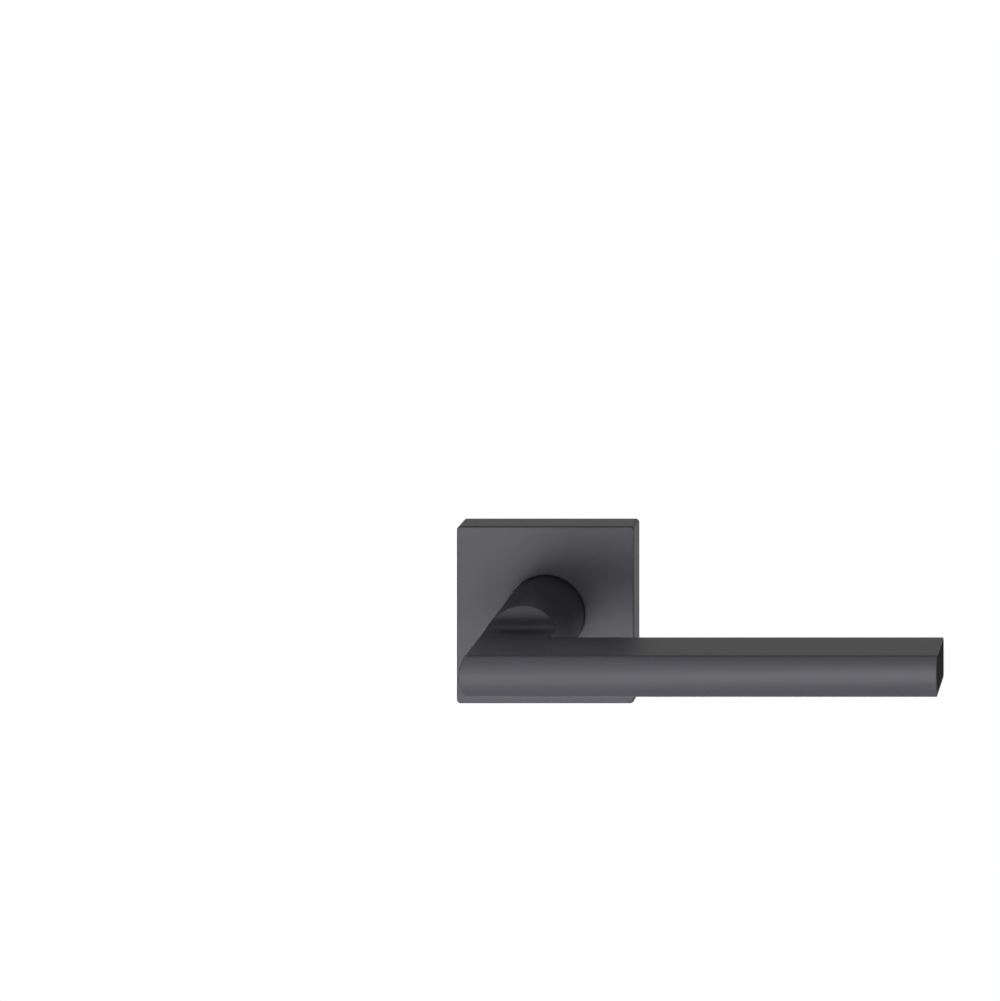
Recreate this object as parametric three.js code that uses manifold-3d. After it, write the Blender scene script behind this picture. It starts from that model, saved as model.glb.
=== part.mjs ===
// Door lever handle on a square sprung rose, millimetres, +Z up.
// The origin is where the spindle's axis meets the door's face. The door is the plane y = 0,
// the handle stands out of it towards -Y, and the lever points to +X.
// "out" is a distance from the door's face towards the user, so y = -out.

import * as THREE from 'three';
import { mergeVertices } from 'three/addons/utils/BufferGeometryUtils.js';
import Module from 'manifold-3d';

const wasm = await Module();
wasm.setup();

// ---------------------------------------------------------------- driving dimensions

// Overall
const roseSize = 52; // side of the square rose
const roseThickness = 8; // door face to the rose's front face
const projection = 62; // door face to the lever's foremost line
const barReach = 121; // spindle axis to the lever's free end

// Lever: a round neck mitred to a round bar, the bar flattened above, below and behind
const neckDiameter = 23;
const barHeight = 11.5; // between the upper and lower flats
const barDepth = 17.9; // foremost line to the flat back
const barBackCorner = 1.2; // radius of the two long back corners
const coveRadius = 5; // hollow that leads from the round neck down to the flats
const coveLead = 9; // how far behind the bar's back the cove starts
const plugRim = 0.7; // metal left round the end plug
const plugFace = 1.6; // thickness of the plug's face
const plugDepth = 12; // how far the plug's shank goes into the bar
const plugShankWall = 1.5; // how much smaller the shank is than the face
const socketCorner = 0.2; // radius left in the square socket's corners

// Rose cover
const coverWall = 1.2;
const coverCorner = 1.1; // radius of its four upright corners
const coverBevel = 0.5; // bevel round its front edge
const coverInnerCorner = 0.4;

// Spindle and the boss on the lever's neck that turns in the rose
const spindleSize = 8;
const spindleBehindDoor = 58;
const spindleChamfer = 0.8;
const spindleCorner = 0.3; // radius of its long corners
const bossWall = 1.9; // metal outside the square socket's corners
const bossFlat = 1.7; // depth of the two flats that drive the cam
const grubScrewOut = 18; // where the grub screw bears on the spindle
const grubScrewDiameter = 6;
const grubScrewLength = 6.5;
const grubScrewKey = 3; // across the flats of its socket
const socketEndWall = 2; // metal between the socket's end and the cove

// Rose base and what it holds
const baseCorner = 0.8; // radius of its four upright corners
const webThickness = 1.8; // front wall of the base, which the neck turns in
const fixingCentres = 38; // between the two fixing posts
const postDiameter = 7;
const postBehindDoor = 10;
const postFlangeDiameter = 9.6;
const postFlangeThickness = 1.4;
const postChamfer = 0.6;
const postThread = 3.3; // tapping hole for an M4 bolt
const postThreadDepth = 13;
const woodScrewOffset = 17; // of each wood screw from the axis, across and up
const woodScrewHead = 7.4;
const woodScrewShank = 3.4;
const woodScrewLength = 20;
const woodScrewPoint = 5; // length of the taper to its point
const woodScrewSink = 0.2; // head below the base's front
const woodScrewRim = 0.3; // straight edge of the head
const crossSlot = 0.9; // width of each arm of the cross recess
const crossReach = 2; // length of each arm
const crossDepth = 1.4;
const chamberWall = 1.1; // between the spring chamber and the posts' holes
const plateThickness = 1.2;
const plateLip = 1.1; // how far the plate reaches past the chamber
const plateScrewCircle = 17.5; // radius on which the plate's screws stand
const plateScrewDiameter = 2;
const plateScrewHead = 3.8;
const plateScrewLength = 4.4;
const plateScrewSink = 0.05; // head below the plate's back
const plateScrewSlot = 0.5;
const plateScrewSlotDepth = 0.4;
const plateEar = 3; // radius of the plate's ears
const bushWall = 0.9;
const bushFlangeThickness = 0.6;
const bushFlangeWidth = 2;
const circlipThickness = 0.6;
const circlipWidth = 2.6;
const circlipDepth = 0.8; // depth of its groove
const circlipMouth = 50; // opening of the ring, degrees
const springWire = 1.1;
const springCoilGap = 0.1; // between neighbouring turns
const springClearance = 0.75; // between the spring and the chamber, and the cam and the spring
const springReach = 1.2; // how far each leg reaches into the base and the cam
const springLegSweep = 20; // angle over which each leg leaves the coil, degrees
const springRootLead = 30; // from the stop pin to the spring's root, degrees
const stopPinDiameter = 1.4;
const stopPinSeat = 0.6; // how far the pin's hole goes into the web
const stopPinWall = 0.3; // metal between the pin's hole and the bush's
const turnAngle = 45; // travel of the lever, degrees
const stopPinAngle = 90; // where the stop pin stands, counted from +X towards +Z
const clipWidth = 6;
const clipSheet = 0.45;
const clipBow = 0.75;
const clipHeight = 3.6;
const clipOffset = 9; // of each clip from the middle of its side

// How many flat sides stand for a round
const neckSides = 60;
const roundSides = 40;
const smallSides = 16;

// Clearances
const gap = 0.3; // between pieces that rest on each other
const runningGap = 0.1; // boss in bush, on the radius
const screwGap = 0.2; // screw in its hole, on the radius

// ---------------------------------------------------------------- worked-out places

const neckRadius = neckDiameter / 2;
const barAxisOut = projection - neckRadius;
const barBackOut = projection - barDepth;
const coveOut = barBackOut - coveLead;

const baseSize = roseSize - 2 * (coverWall + gap);
const baseFront = roseThickness - coverWall - gap;
const webBack = baseFront - webThickness;
const postX = fixingCentres / 2;
const postHoleRadius = postDiameter / 2 + screwGap;
const chamberRadius = postX - postHoleRadius - chamberWall;

const socketHalf = spindleSize / 2 + gap;
const bossRadius = socketHalf * Math.SQRT2 + bossWall;
const bushBore = bossRadius + runningGap;
const bushOuter = bushBore + bushWall;
const bushHole = bushOuter + screwGap;
const flangeRadius = bushHole + bushFlangeWidth;
const flangeRecess = baseFront - bushFlangeThickness - screwGap;
const shoulderOut = flangeRecess + gap + bushFlangeThickness + gap;
const bossFlatAt = bossRadius - bossFlat;

const springRadius = chamberRadius - springClearance - springWire / 2;
const driverRadius = springRadius - springWire / 2 - springClearance;
const driverFront = webBack - gap;
const driverBack = plateThickness + gap + circlipThickness + gap;
const circlipBack = plateThickness + gap;
const springBackOut = plateThickness + gap + springWire / 2;
const springFrontOut = driverFront - springWire / 2;
const springTurns = (springFrontOut - springBackOut) / (springWire + springCoilGap);
const springRootStart = stopPinAngle + springRootLead;
const stopPinCircle = bushHole + stopPinWall + stopPinDiameter / 2 + screwGap;

// ---------------------------------------------------------------- shape helpers

const radians = THREE.MathUtils.degToRad;

/** A closed three.js geometry as a solid that can be joined and cut. */
function solid(geometry) {
  const bare = geometry.clone();
  bare.deleteAttribute('normal');
  bare.deleteAttribute('uv');
  const merged = mergeVertices(bare, 1e-4);
  const at = merged.attributes.position;
  const corner = (i) => new THREE.Vector3().fromBufferAttribute(at, i);
  const triangles = [];
  let volume = 0;
  for (let i = 0; i < merged.index.count; i += 3) {
    const [a, b, c] = merged.index.array.slice(i, i + 3);
    if (a === b || b === c || c === a) continue;
    triangles.push([a, b, c]);
    volume += corner(a).dot(corner(b).cross(corner(c)));
  }
  if (volume < 0) triangles.forEach((triangle) => triangle.reverse());
  return new wasm.Manifold(
    new wasm.Mesh({
      numProp: 3,
      vertProperties: Float32Array.from(at.array),
      triVerts: Uint32Array.from(triangles.flat()),
    }),
  );
}

/** A solid as a three.js geometry. */
function geometryOf(made) {
  const { vertProperties, triVerts } = made.getMesh();
  const geometry = new THREE.BufferGeometry();
  geometry.setAttribute('position', new THREE.BufferAttribute(vertProperties, 3));
  geometry.setIndex(new THREE.BufferAttribute(triVerts, 1));
  geometry.computeVertexNormals();
  return geometry;
}

/** A plan drawn in x and z, given thickness along the way out of the door. */
function extrudeOut(plan, from, to, bevel = 0) {
  const geometry = new THREE.ExtrudeGeometry(plan, {
    depth: to - from - 2 * bevel,
    curveSegments: 5,
    bevelEnabled: bevel > 0,
    bevelThickness: bevel,
    bevelSize: bevel,
    bevelOffset: -bevel,
    bevelSegments: 2,
  });
  geometry.rotateX(Math.PI / 2);
  geometry.translate(0, -from - bevel, 0);
  return solid(geometry);
}

/** A section drawn in out and z, swept straight along x. */
function extrudeAcross(section, fromX, toX) {
  const geometry = new THREE.ExtrudeGeometry(section, {
    depth: toX - fromX,
    curveSegments: 8,
    bevelEnabled: false,
  });
  const turn = new THREE.Matrix4().makeBasis(
    new THREE.Vector3(0, -1, 0),
    new THREE.Vector3(0, 0, 1),
    new THREE.Vector3(-1, 0, 0),
  );
  geometry.applyMatrix4(turn);
  geometry.translate(toX, 0, 0);
  return solid(geometry);
}

/** A turned piece on the spindle's axis, from [radius, out] pairs. */
function turned(profile, segments = roundSides) {
  const points = profile.map(([radius, out]) => new THREE.Vector2(radius, -out));
  return solid(new THREE.LatheGeometry(points, segments));
}

function disc(radius, from, to, segments) {
  return turned([[0, from], [radius, from], [radius, to], [0, to]], segments);
}

function ring(inner, outer, from, to, segments) {
  return turned([[inner, from], [outer, from], [outer, to], [inner, to], [inner, from]], segments);
}

function polygon(corners) {
  return new THREE.Shape(corners.map(([x, y]) => new THREE.Vector2(x, y)));
}

function roundedSquare(side, radius) {
  const half = side / 2;
  const inner = half - radius;
  const plan = new THREE.Shape();
  [[1, 1], [-1, 1], [-1, -1], [1, -1]].forEach(([x, z], quarter) => {
    const start = (quarter * Math.PI) / 2;
    plan.absarc(x * inner, z * inner, radius, start, start + Math.PI / 2, false);
  });
  return plan;
}

/** A slice of a ring between two angles in degrees, counted from +X towards +Z. */
function sector(inner, outer, startAngle, endAngle) {
  const plan = new THREE.Shape();
  plan.absarc(0, 0, outer, radians(startAngle), radians(endAngle), false);
  plan.absarc(0, 0, inner, radians(endAngle), radians(startAngle), true);
  return plan;
}

function polar(radius, angle) {
  return [radius * Math.cos(radians(angle)), radius * Math.sin(radians(angle))];
}

/** Cuts every tool out of a blank. A tool runs 1 or more past the faces that it opens. */
function cut(blank, ...tools) {
  return tools.reduce((left, tool) => left.subtract(tool), blank);
}

/** Moves a solid made on the spindle's axis to x and z. */
function moved(made, x, z) {
  return made.translate([x, 0, z]);
}

// ---------------------------------------------------------------- lever body

/** The bar's section, drawn in out and z: a round front, flats above and below, a flat back. */
function barSection(inset) {
  const radius = neckRadius - inset;
  const half = barHeight / 2 - inset;
  const back = barBackOut + inset;
  const corner = Math.max(barBackCorner - inset, 0.4);
  const edgeAngle = Math.asin(half / radius);
  const section = new THREE.Shape();
  section.absarc(barAxisOut, 0, radius, -edgeAngle, edgeAngle, false);
  section.absarc(back + corner, half - corner, corner, Math.PI / 2, Math.PI, false);
  section.absarc(back + corner, corner - half, corner, Math.PI, 1.5 * Math.PI, false);
  return section;
}

/** What the cove and the flats take off above the bar, drawn in out and z. */
function coveSection() {
  const half = barHeight / 2;
  const top = neckRadius + 2;
  const section = new THREE.Shape();
  section.moveTo(coveOut, top);
  section.lineTo(coveOut, half + coveRadius);
  section.absarc(coveOut + coveRadius, half + coveRadius, coveRadius, Math.PI, 1.5 * Math.PI, false);
  section.lineTo(projection + 2, half);
  section.lineTo(projection + 2, top);
  return section;
}

/** A round bar bent square: along -Y from the rose, then along +X, mitred where the axes meet. */
function mitredRound(radius, startOut, cornerOut, reach) {
  const geometry = new THREE.CylinderGeometry(radius, radius, 2, neckSides, 2);
  const at = geometry.attributes.position;
  for (let i = 0; i < at.count; i += 1) {
    const [x, ringNumber, z] = [at.getX(i), Math.round(at.getY(i)), at.getZ(i)];
    if (ringNumber === -1) at.setXYZ(i, x, -startOut, z);
    if (ringNumber === 0) at.setXYZ(i, x, x - cornerOut, z);
    if (ringNumber === 1) at.setXYZ(i, reach, x - cornerOut, z);
  }
  return solid(geometry);
}

/** What is taken off behind the bar, drawn in out and z, with its two long corners rounded. */
function backSection() {
  const half = barHeight / 2;
  const tall = 2 * neckRadius;
  const corner = barBackCorner;
  const section = new THREE.Shape();
  section.moveTo(roseThickness, -tall);
  section.lineTo(barBackOut + corner, -tall);
  section.lineTo(barBackOut + corner, -half);
  section.absarc(barBackOut + corner, corner - half, corner, 1.5 * Math.PI, Math.PI, true);
  section.absarc(barBackOut + corner, half - corner, corner, Math.PI, 0.5 * Math.PI, true);
  section.lineTo(barBackOut + corner, tall);
  section.lineTo(roseThickness, tall);
  return section;
}

function makeLever() {
  const round = mitredRound(neckRadius, shoulderOut, barAxisOut, barReach);
  const behindBar = extrudeAcross(backSection(), 0, barReach + 2).subtract(
    turned([[0, 0], [neckRadius, 0], [neckRadius, projection], [0, projection]], neckSides),
  );
  const cove = extrudeAcross(coveSection(), -neckRadius - 2, barReach + 2);
  const boss = disc(bossRadius, gap, shoulderOut + 1);

  const socketEnd = coveOut - socketEndWall;
  const socket = extrudeOut(roundedSquare(2 * socketHalf, socketCorner), -1, socketEnd);
  const plugPocket = extrudeAcross(barSection(plugRim), barReach - plugFace - gap, barReach + 1);
  const shankPocket = extrudeAcross(
    barSection(plugRim + plugShankWall - gap), barReach - plugDepth - gap, barReach,
  );
  const groove = ring(
    bossRadius - circlipDepth, bossRadius + 1,
    circlipBack - screwGap, circlipBack + circlipThickness + screwGap,
  );
  const flat = extrudeAcross(
    polygon([
      [-1, bossFlatAt], [webBack - gap / 2, bossFlatAt],
      [webBack - gap / 2, bossRadius + 1], [-1, bossRadius + 1],
    ]),
    -bossRadius - 1, bossRadius + 1,
  );
  const grubHole = grubBlank(grubScrewDiameter / 2 + screwGap, -neckRadius - 1, 0);
  return cut(
    round.add(boss), behindBar, cove, cove.mirror([0, 0, 1]), socket, plugPocket, shankPocket,
    groove, flat, flat.mirror([0, 0, 1]), grubHole,
  );
}

/** An upright cylinder where the grub screw goes, between two heights. */
function grubBlank(radius, low, high, segments = smallSides) {
  const geometry = new THREE.CylinderGeometry(radius, radius, high - low, segments);
  geometry.rotateX(Math.PI / 2);
  geometry.translate(0, -grubScrewOut, (low + high) / 2);
  return solid(geometry);
}

function makeGrubScrew() {
  const top = -spindleSize / 2 - gap;
  const keyRadius = grubScrewKey / 2 / Math.cos(Math.PI / 6);
  const key = grubBlank(keyRadius, top - grubScrewLength - 1, top - grubScrewLength / 2, 6);
  return grubBlank(grubScrewDiameter / 2, top - grubScrewLength, top).subtract(key);
}

function makeEndPlug() {
  const face = extrudeAcross(barSection(plugRim + screwGap), barReach - plugFace, barReach);
  const shank = extrudeAcross(
    barSection(plugRim + plugShankWall), barReach - plugDepth, barReach - plugFace / 2,
  );
  return face.add(shank);
}

function makeSpindle() {
  const end = coveOut - socketEndWall - gap;
  const corner = (spindleSize / 2) * Math.SQRT2;
  const square = extrudeOut(roundedSquare(spindleSize, spindleCorner), -spindleBehindDoor, end);
  const turnedEnds = turned([
    [0, -spindleBehindDoor], [corner - 2 * spindleChamfer, -spindleBehindDoor],
    [corner, spindleChamfer - spindleBehindDoor], [corner, end - spindleChamfer],
    [corner - 2 * spindleChamfer, end], [0, end],
  ], smallSides);
  return square.intersect(turnedEnds);
}

/** The cam that winds the spring: driven by the boss's flats, notched for the stop pin. */
function makeSpringDriver() {
  const bore = bossRadius + gap;
  const flatAt = bossFlatAt + gap;
  const across = 2 * bore;
  const boreShape = disc(bore, driverBack - 1, driverFront + 1).intersect(
    extrudeAcross(
      polygon([
        [driverBack - 1, -flatAt], [driverFront + 1, -flatAt],
        [driverFront + 1, flatAt], [driverBack - 1, flatAt],
      ]),
      -across, across,
    ),
  );
  const pinHalfAngle = THREE.MathUtils.radToDeg((stopPinDiameter / 2 + gap) / stopPinCircle);
  const notchFloor = stopPinCircle - stopPinDiameter / 2 - gap;
  const stopNotch = extrudeOut(
    sector(
      notchFloor, driverRadius + 2,
      stopPinAngle - pinHalfAngle, stopPinAngle + turnAngle + pinHalfAngle,
    ),
    driverBack - 1, driverFront + 1,
  );
  const legEnd = springRootStart - springLegSweep - 360 * springTurns;
  const legAngle = THREE.MathUtils.radToDeg((springWire / 2 + gap) / driverRadius);
  const legNotch = extrudeOut(
    sector(
      driverRadius - springReach - springWire / 2 - gap, driverRadius + 2,
      legEnd - legAngle, legEnd + springLegSweep + legAngle,
    ),
    springFrontOut - springWire / 2 - gap, driverFront + 1,
  );
  return cut(disc(driverRadius, driverBack, driverFront), boreShape, stopNotch, legNotch);
}

function makeCirclip() {
  const inner = bossRadius - circlipDepth + screwGap;
  const outer = inner + circlipWidth;
  const clip = ring(inner, outer, circlipBack, circlipBack + circlipThickness);
  const mouth = extrudeOut(
    sector(inner - 2, outer + 2, 270 - circlipMouth / 2, 270 + circlipMouth / 2),
    circlipBack - 1, circlipBack + circlipThickness + 1,
  );
  return clip.subtract(mouth);
}

// ---------------------------------------------------------------- rose body

function makeRoseCover() {
  const front = extrudeOut(roundedSquare(roseSize, coverCorner), -2, roseThickness, coverBevel);
  const shell = front.subtract(extrudeOut(roundedSquare(2 * roseSize, 1), -4, 0));
  const insidePlan = roundedSquare(roseSize - 2 * coverWall, coverInnerCorner);
  const inside = extrudeOut(insidePlan, -1, roseThickness - coverWall);
  const neckHole = disc(neckRadius + gap, 0, roseThickness + 1);
  return cut(shell, inside, neckHole);
}

// Where each repeated piece stands, as [x, z], and for the clips as [x, side of the base]
const woodScrewPlaces = [[-woodScrewOffset, woodScrewOffset], [woodScrewOffset, -woodScrewOffset]];
const plateScrewPlaces = [90, 210, 330].map((angle) => polar(plateScrewCircle, angle));
const postPlaces = [[-postX, 0], [postX, 0]];
const clipPlaces = [[-clipOffset, 1], [clipOffset, 1], [-clipOffset, -1], [clipOffset, -1]];

const woodHeadOut = baseFront - woodScrewSink;
const woodTipOut = woodHeadOut - woodScrewLength;

function makeWoodScrew() {
  const head = woodScrewHead / 2;
  const shank = woodScrewShank / 2;
  const rimOut = woodHeadOut - woodScrewRim;
  const blank = turned([
    [0, woodHeadOut], [head, woodHeadOut], [head, rimOut], [shank, rimOut - (head - shank)],
    [shank, woodTipOut + woodScrewPoint], [0, woodTipOut],
  ], smallSides);
  const arm = (wide, tall) => extrudeOut(
    polygon([[-wide, -tall], [wide, -tall], [wide, tall], [-wide, tall]]),
    woodHeadOut - crossDepth, woodHeadOut + 1,
  );
  return cut(blank, arm(crossSlot / 2, crossReach), arm(crossReach, crossSlot / 2));
}

function makePlateScrew() {
  const head = plateScrewHead / 2;
  const shank = plateScrewDiameter / 2;
  const blank = turned([
    [0, plateScrewSink], [head, plateScrewSink], [shank, plateScrewSink + head - shank],
    [shank, plateScrewLength], [0, plateScrewLength],
  ], smallSides);
  const half = plateScrewSlot / 2;
  const slot = extrudeOut(
    polygon([[-head, -half], [head, -half], [head, half], [-head, half]]),
    -1, plateScrewSink + plateScrewSlotDepth,
  );
  return blank.subtract(slot);
}

function platePlan(grow) {
  return [
    disc(chamberRadius + plateLip + grow, 0, 1),
    ...plateScrewPlaces.map(([x, z]) => moved(disc(plateEar + grow, 0, 1, smallSides), x, z)),
  ].reduce((all, piece) => all.add(piece));
}

/** The plan of the retainer plate, grown by a clearance, between two distances out. */
function plateBlank(grow, from, to) {
  return platePlan(grow).scale([1, to - from, 1]).translate([0, -from, 0]);
}

function makeRetainerPlate() {
  const headHole = plateScrewHead / 2 + screwGap + gap;
  const shankHole = plateScrewDiameter / 2 + screwGap;
  const holes = plateScrewPlaces.map(([x, z]) => moved(
    turned([
      [0, -screwGap], [headHole, -screwGap], [shankHole, headHole - shankHole - screwGap],
      [shankHole, plateThickness + 1], [0, plateThickness + 1],
    ], smallSides), x, z,
  ));
  const bossHole = disc(bossRadius + gap, -1, plateThickness + 1);
  return cut(plateBlank(0, 0, plateThickness), bossHole, ...holes);
}

function makeRoseBase() {
  const blank = extrudeOut(roundedSquare(baseSize, baseCorner), 0, baseFront);
  const hole = (radius, from = -1, to = baseFront + 1) => disc(radius, from, to, smallSides);
  const chamber = disc(chamberRadius, -1, webBack);
  const plateRecess = plateBlank(gap, -1, plateThickness + gap);
  const bushBoreHole = disc(bushHole, -1, baseFront + 1);
  const bushRecess = disc(flangeRadius + gap, flangeRecess, baseFront + 1);
  const postHoles = postPlaces.map(([x, z]) => moved(
    hole(postHoleRadius).add(
      hole(postFlangeDiameter / 2 + gap, baseFront - postFlangeThickness - 2 * gap),
    ), x, z,
  ));
  const headHole = woodScrewHead / 2 + gap;
  const shankHole = woodScrewShank / 2 + gap;
  const headSeat = woodHeadOut - woodScrewRim - screwGap;
  const woodHoles = woodScrewPlaces.map(([x, z]) => moved(
    turned([
      [0, baseFront + 1], [headHole, baseFront + 1], [headHole, headSeat],
      [shankHole, headSeat - (headHole - shankHole)], [shankHole, -1], [0, -1],
    ], smallSides), x, z,
  ));
  const pilotHoles = plateScrewPlaces.map(
    ([x, z]) => moved(hole(plateScrewDiameter / 2 + screwGap, 0, plateScrewLength + gap), x, z),
  );
  const pinHole = moved(
    hole(stopPinDiameter / 2 + screwGap, webBack - 1, webBack + stopPinSeat),
    ...polar(stopPinCircle, stopPinAngle),
  );
  const legAngle = THREE.MathUtils.radToDeg((springWire / 2 + gap) / chamberRadius);
  const legPocket = extrudeOut(
    sector(
      chamberRadius - 1, chamberRadius + springReach + springWire / 2 + gap,
      springRootStart - springLegSweep - legAngle, springRootStart + legAngle,
    ),
    plateThickness, springBackOut + springWire / 2 + gap,
  );
  const clipPockets = clipPlaces.map(([x, side]) => clipPocket(x, side));
  return cut(
    blank, chamber, plateRecess, bushBoreHole, bushRecess, pinHole, legPocket,
    ...postHoles, ...woodHoles, ...pilotHoles, ...clipPockets,
  );
}

const clipFoot = clipSheet + gap;
const clipPocketDepth = clipSheet + clipBow;
const clipLow = (baseFront - clipHeight) / 2;

/** The pocket in the base's upper or lower side that a cover clip sits in. */
function clipPocket(x, side) {
  const floor = side * (baseSize / 2 - clipPocketDepth);
  const open = side * baseSize;
  return extrudeAcross(
    polygon([
      [clipLow - gap, floor], [clipLow + clipHeight + gap, floor],
      [clipLow + clipHeight + gap, open], [clipLow - gap, open],
    ]),
    x - clipWidth / 2 - gap, x + clipWidth / 2 + gap,
  );
}

/** A bowed strip of spring steel, its back towards -Z and its bow towards +Z. */
function makeCoverClip() {
  const bow = new THREE.Shape();
  bow.moveTo(0, 0);
  bow.quadraticCurveTo(clipHeight / 2, 2 * clipBow - clipFoot, clipHeight, 0);
  bow.lineTo(clipHeight, clipSheet);
  bow.quadraticCurveTo(clipHeight / 2, 2 * clipBow - clipFoot + clipSheet, 0, clipSheet);
  return extrudeAcross(bow, -clipWidth / 2, clipWidth / 2);
}

function makeFixingPost() {
  const flangeFront = baseFront - gap;
  const flangeBack = flangeFront - postFlangeThickness;
  return turned([
    [0, flangeFront], [postFlangeDiameter / 2, flangeFront], [postFlangeDiameter / 2, flangeBack],
    [postDiameter / 2, flangeBack], [postDiameter / 2, postChamfer - postBehindDoor],
    [postDiameter / 2 - postChamfer, -postBehindDoor], [postThread / 2, -postBehindDoor],
    [postThread / 2, postThreadDepth - postBehindDoor], [0, postThreadDepth - postBehindDoor + 1],
  ], smallSides);
}

function makeNeckBush() {
  const flangeBack = flangeRecess + gap;
  const flangeFront = flangeBack + bushFlangeThickness;
  return turned([
    [bushBore, webBack], [bushOuter, webBack], [bushOuter, flangeBack], [flangeRadius, flangeBack],
    [flangeRadius, flangeFront], [bushBore, flangeFront], [bushBore, webBack],
  ]);
}

function makeStopPin() {
  return disc(stopPinDiameter / 2, driverBack + gap, webBack + stopPinSeat - gap, smallSides);
}

/** The return spring's centre line: a leg out into the base, the coil, a leg in to the cam. */
class SpringPath extends THREE.Curve {
  getPoint(t, target = new THREE.Vector3()) {
    const coil = 360 * springTurns;
    const travelled = t * (coil + springLegSweep);
    const angle = springRootStart - travelled;
    const intoBase = Math.max(0, 1 - travelled / springLegSweep);
    const intoCam = Math.max(0, (travelled - coil) / springLegSweep);
    const outwards = chamberRadius + springReach - springRadius;
    const inwards = springRadius - (driverRadius - springReach);
    const radius = springRadius + outwards * intoBase ** 2 - inwards * intoCam ** 2;
    const climb = THREE.MathUtils.clamp((travelled - springLegSweep) / (coil - springLegSweep), 0, 1);
    const out = THREE.MathUtils.lerp(springBackOut, springFrontOut, climb);
    const [x, z] = polar(radius, angle);
    return target.set(x, -out, z);
  }
}

function makeReturnSpring() {
  const section = new THREE.Shape();
  section.absarc(0, 0, springWire / 2, 0, 2 * Math.PI, false);
  return solid(
    new THREE.ExtrudeGeometry(section, { steps: 54, curveSegments: 3, extrudePath: new SpringPath() }),
  );
}

// ---------------------------------------------------------------- finishes

const finishes = {
  graphitePaint: { color: 0x626168, roughness: 0.4, metalness: 0.6 },
  zincCasting: { color: 0x9a9a98, roughness: 0.5, metalness: 0.9 },
  zincPlatedSteel: { color: 0xb4b6b8, roughness: 0.35, metalness: 1 },
  springSteel: { color: 0x7c7d80, roughness: 0.3, metalness: 1 },
  blackPlastic: { color: 0x171719, roughness: 0.5, metalness: 0 },
  whiteAcetal: { color: 0xe4e2da, roughness: 0.45, metalness: 0 },
};

/** One named piece in its own finish. */
function piece(name, made, finish, x = 0, y = 0, z = 0) {
  const mesh = new THREE.Mesh(geometryOf(made), new THREE.MeshStandardMaterial(finishes[finish]));
  mesh.name = name;
  mesh.position.set(x, y, z);
  return mesh;
}

// ---------------------------------------------------------------- assembly

const rose = new THREE.Group();
rose.add(
  piece('rose_cover', makeRoseCover(), 'graphitePaint'),
  piece('rose_base', makeRoseBase(), 'zincCasting'),
  piece('retainer_plate', makeRetainerPlate(), 'zincPlatedSteel'),
  piece('neck_bush', makeNeckBush(), 'whiteAcetal'),
  piece('return_spring', makeReturnSpring(), 'springSteel'),
);
const [pinX, pinZ] = polar(stopPinCircle, stopPinAngle);
rose.add(piece('stop_pin', makeStopPin(), 'zincPlatedSteel', pinX, 0, pinZ));
plateScrewPlaces.forEach(([x, z], i) => {
  rose.add(piece(`plate_screw_${i + 1}`, makePlateScrew(), 'zincPlatedSteel', x, 0, z));
});
postPlaces.forEach(([x, z], i) => {
  rose.add(piece(`fixing_post_${['left', 'right'][i]}`, makeFixingPost(), 'zincPlatedSteel', x, 0, z));
});
woodScrewPlaces.forEach(([x, z], i) => {
  rose.add(piece(`wood_screw_${['upper', 'lower'][i]}`, makeWoodScrew(), 'zincPlatedSteel', x, 0, z));
});
clipPlaces.forEach(([x, side], i) => {
  const clip = piece(`cover_clip_${i + 1}`, makeCoverClip(), 'springSteel', x, -clipLow);
  clip.position.z = side * (baseSize / 2 - clipPocketDepth + screwGap);
  if (side < 0) {
    clip.rotation.y = Math.PI;
  }
  rose.add(clip);
});

const lever = new THREE.Group();
lever.add(
  piece('lever', makeLever(), 'graphitePaint'),
  piece('lever_end_plug', makeEndPlug(), 'blackPlastic'),
  piece('spindle', makeSpindle(), 'zincPlatedSteel'),
  piece('grub_screw', makeGrubScrew(), 'springSteel'),
  piece('spring_driver', makeSpringDriver(), 'zincPlatedSteel'),
  piece('circlip', makeCirclip(), 'springSteel'),
);

const handle = new THREE.Group();
handle.add(rose, lever);

export default handle;
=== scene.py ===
"""Door lever handle on a square sprung rose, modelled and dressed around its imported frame.

Sizes are millimetres and places are (x, out, z): x runs along the lever, out is the distance
from the door's face towards the user, and z is up. Blender's y is -out.
"""

import logging
import math
from collections.abc import Callable, Iterator, Sequence
from contextlib import contextmanager
from dataclasses import dataclass, field
from enum import Enum

import bpy
from mathutils import Matrix, Vector

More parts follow.
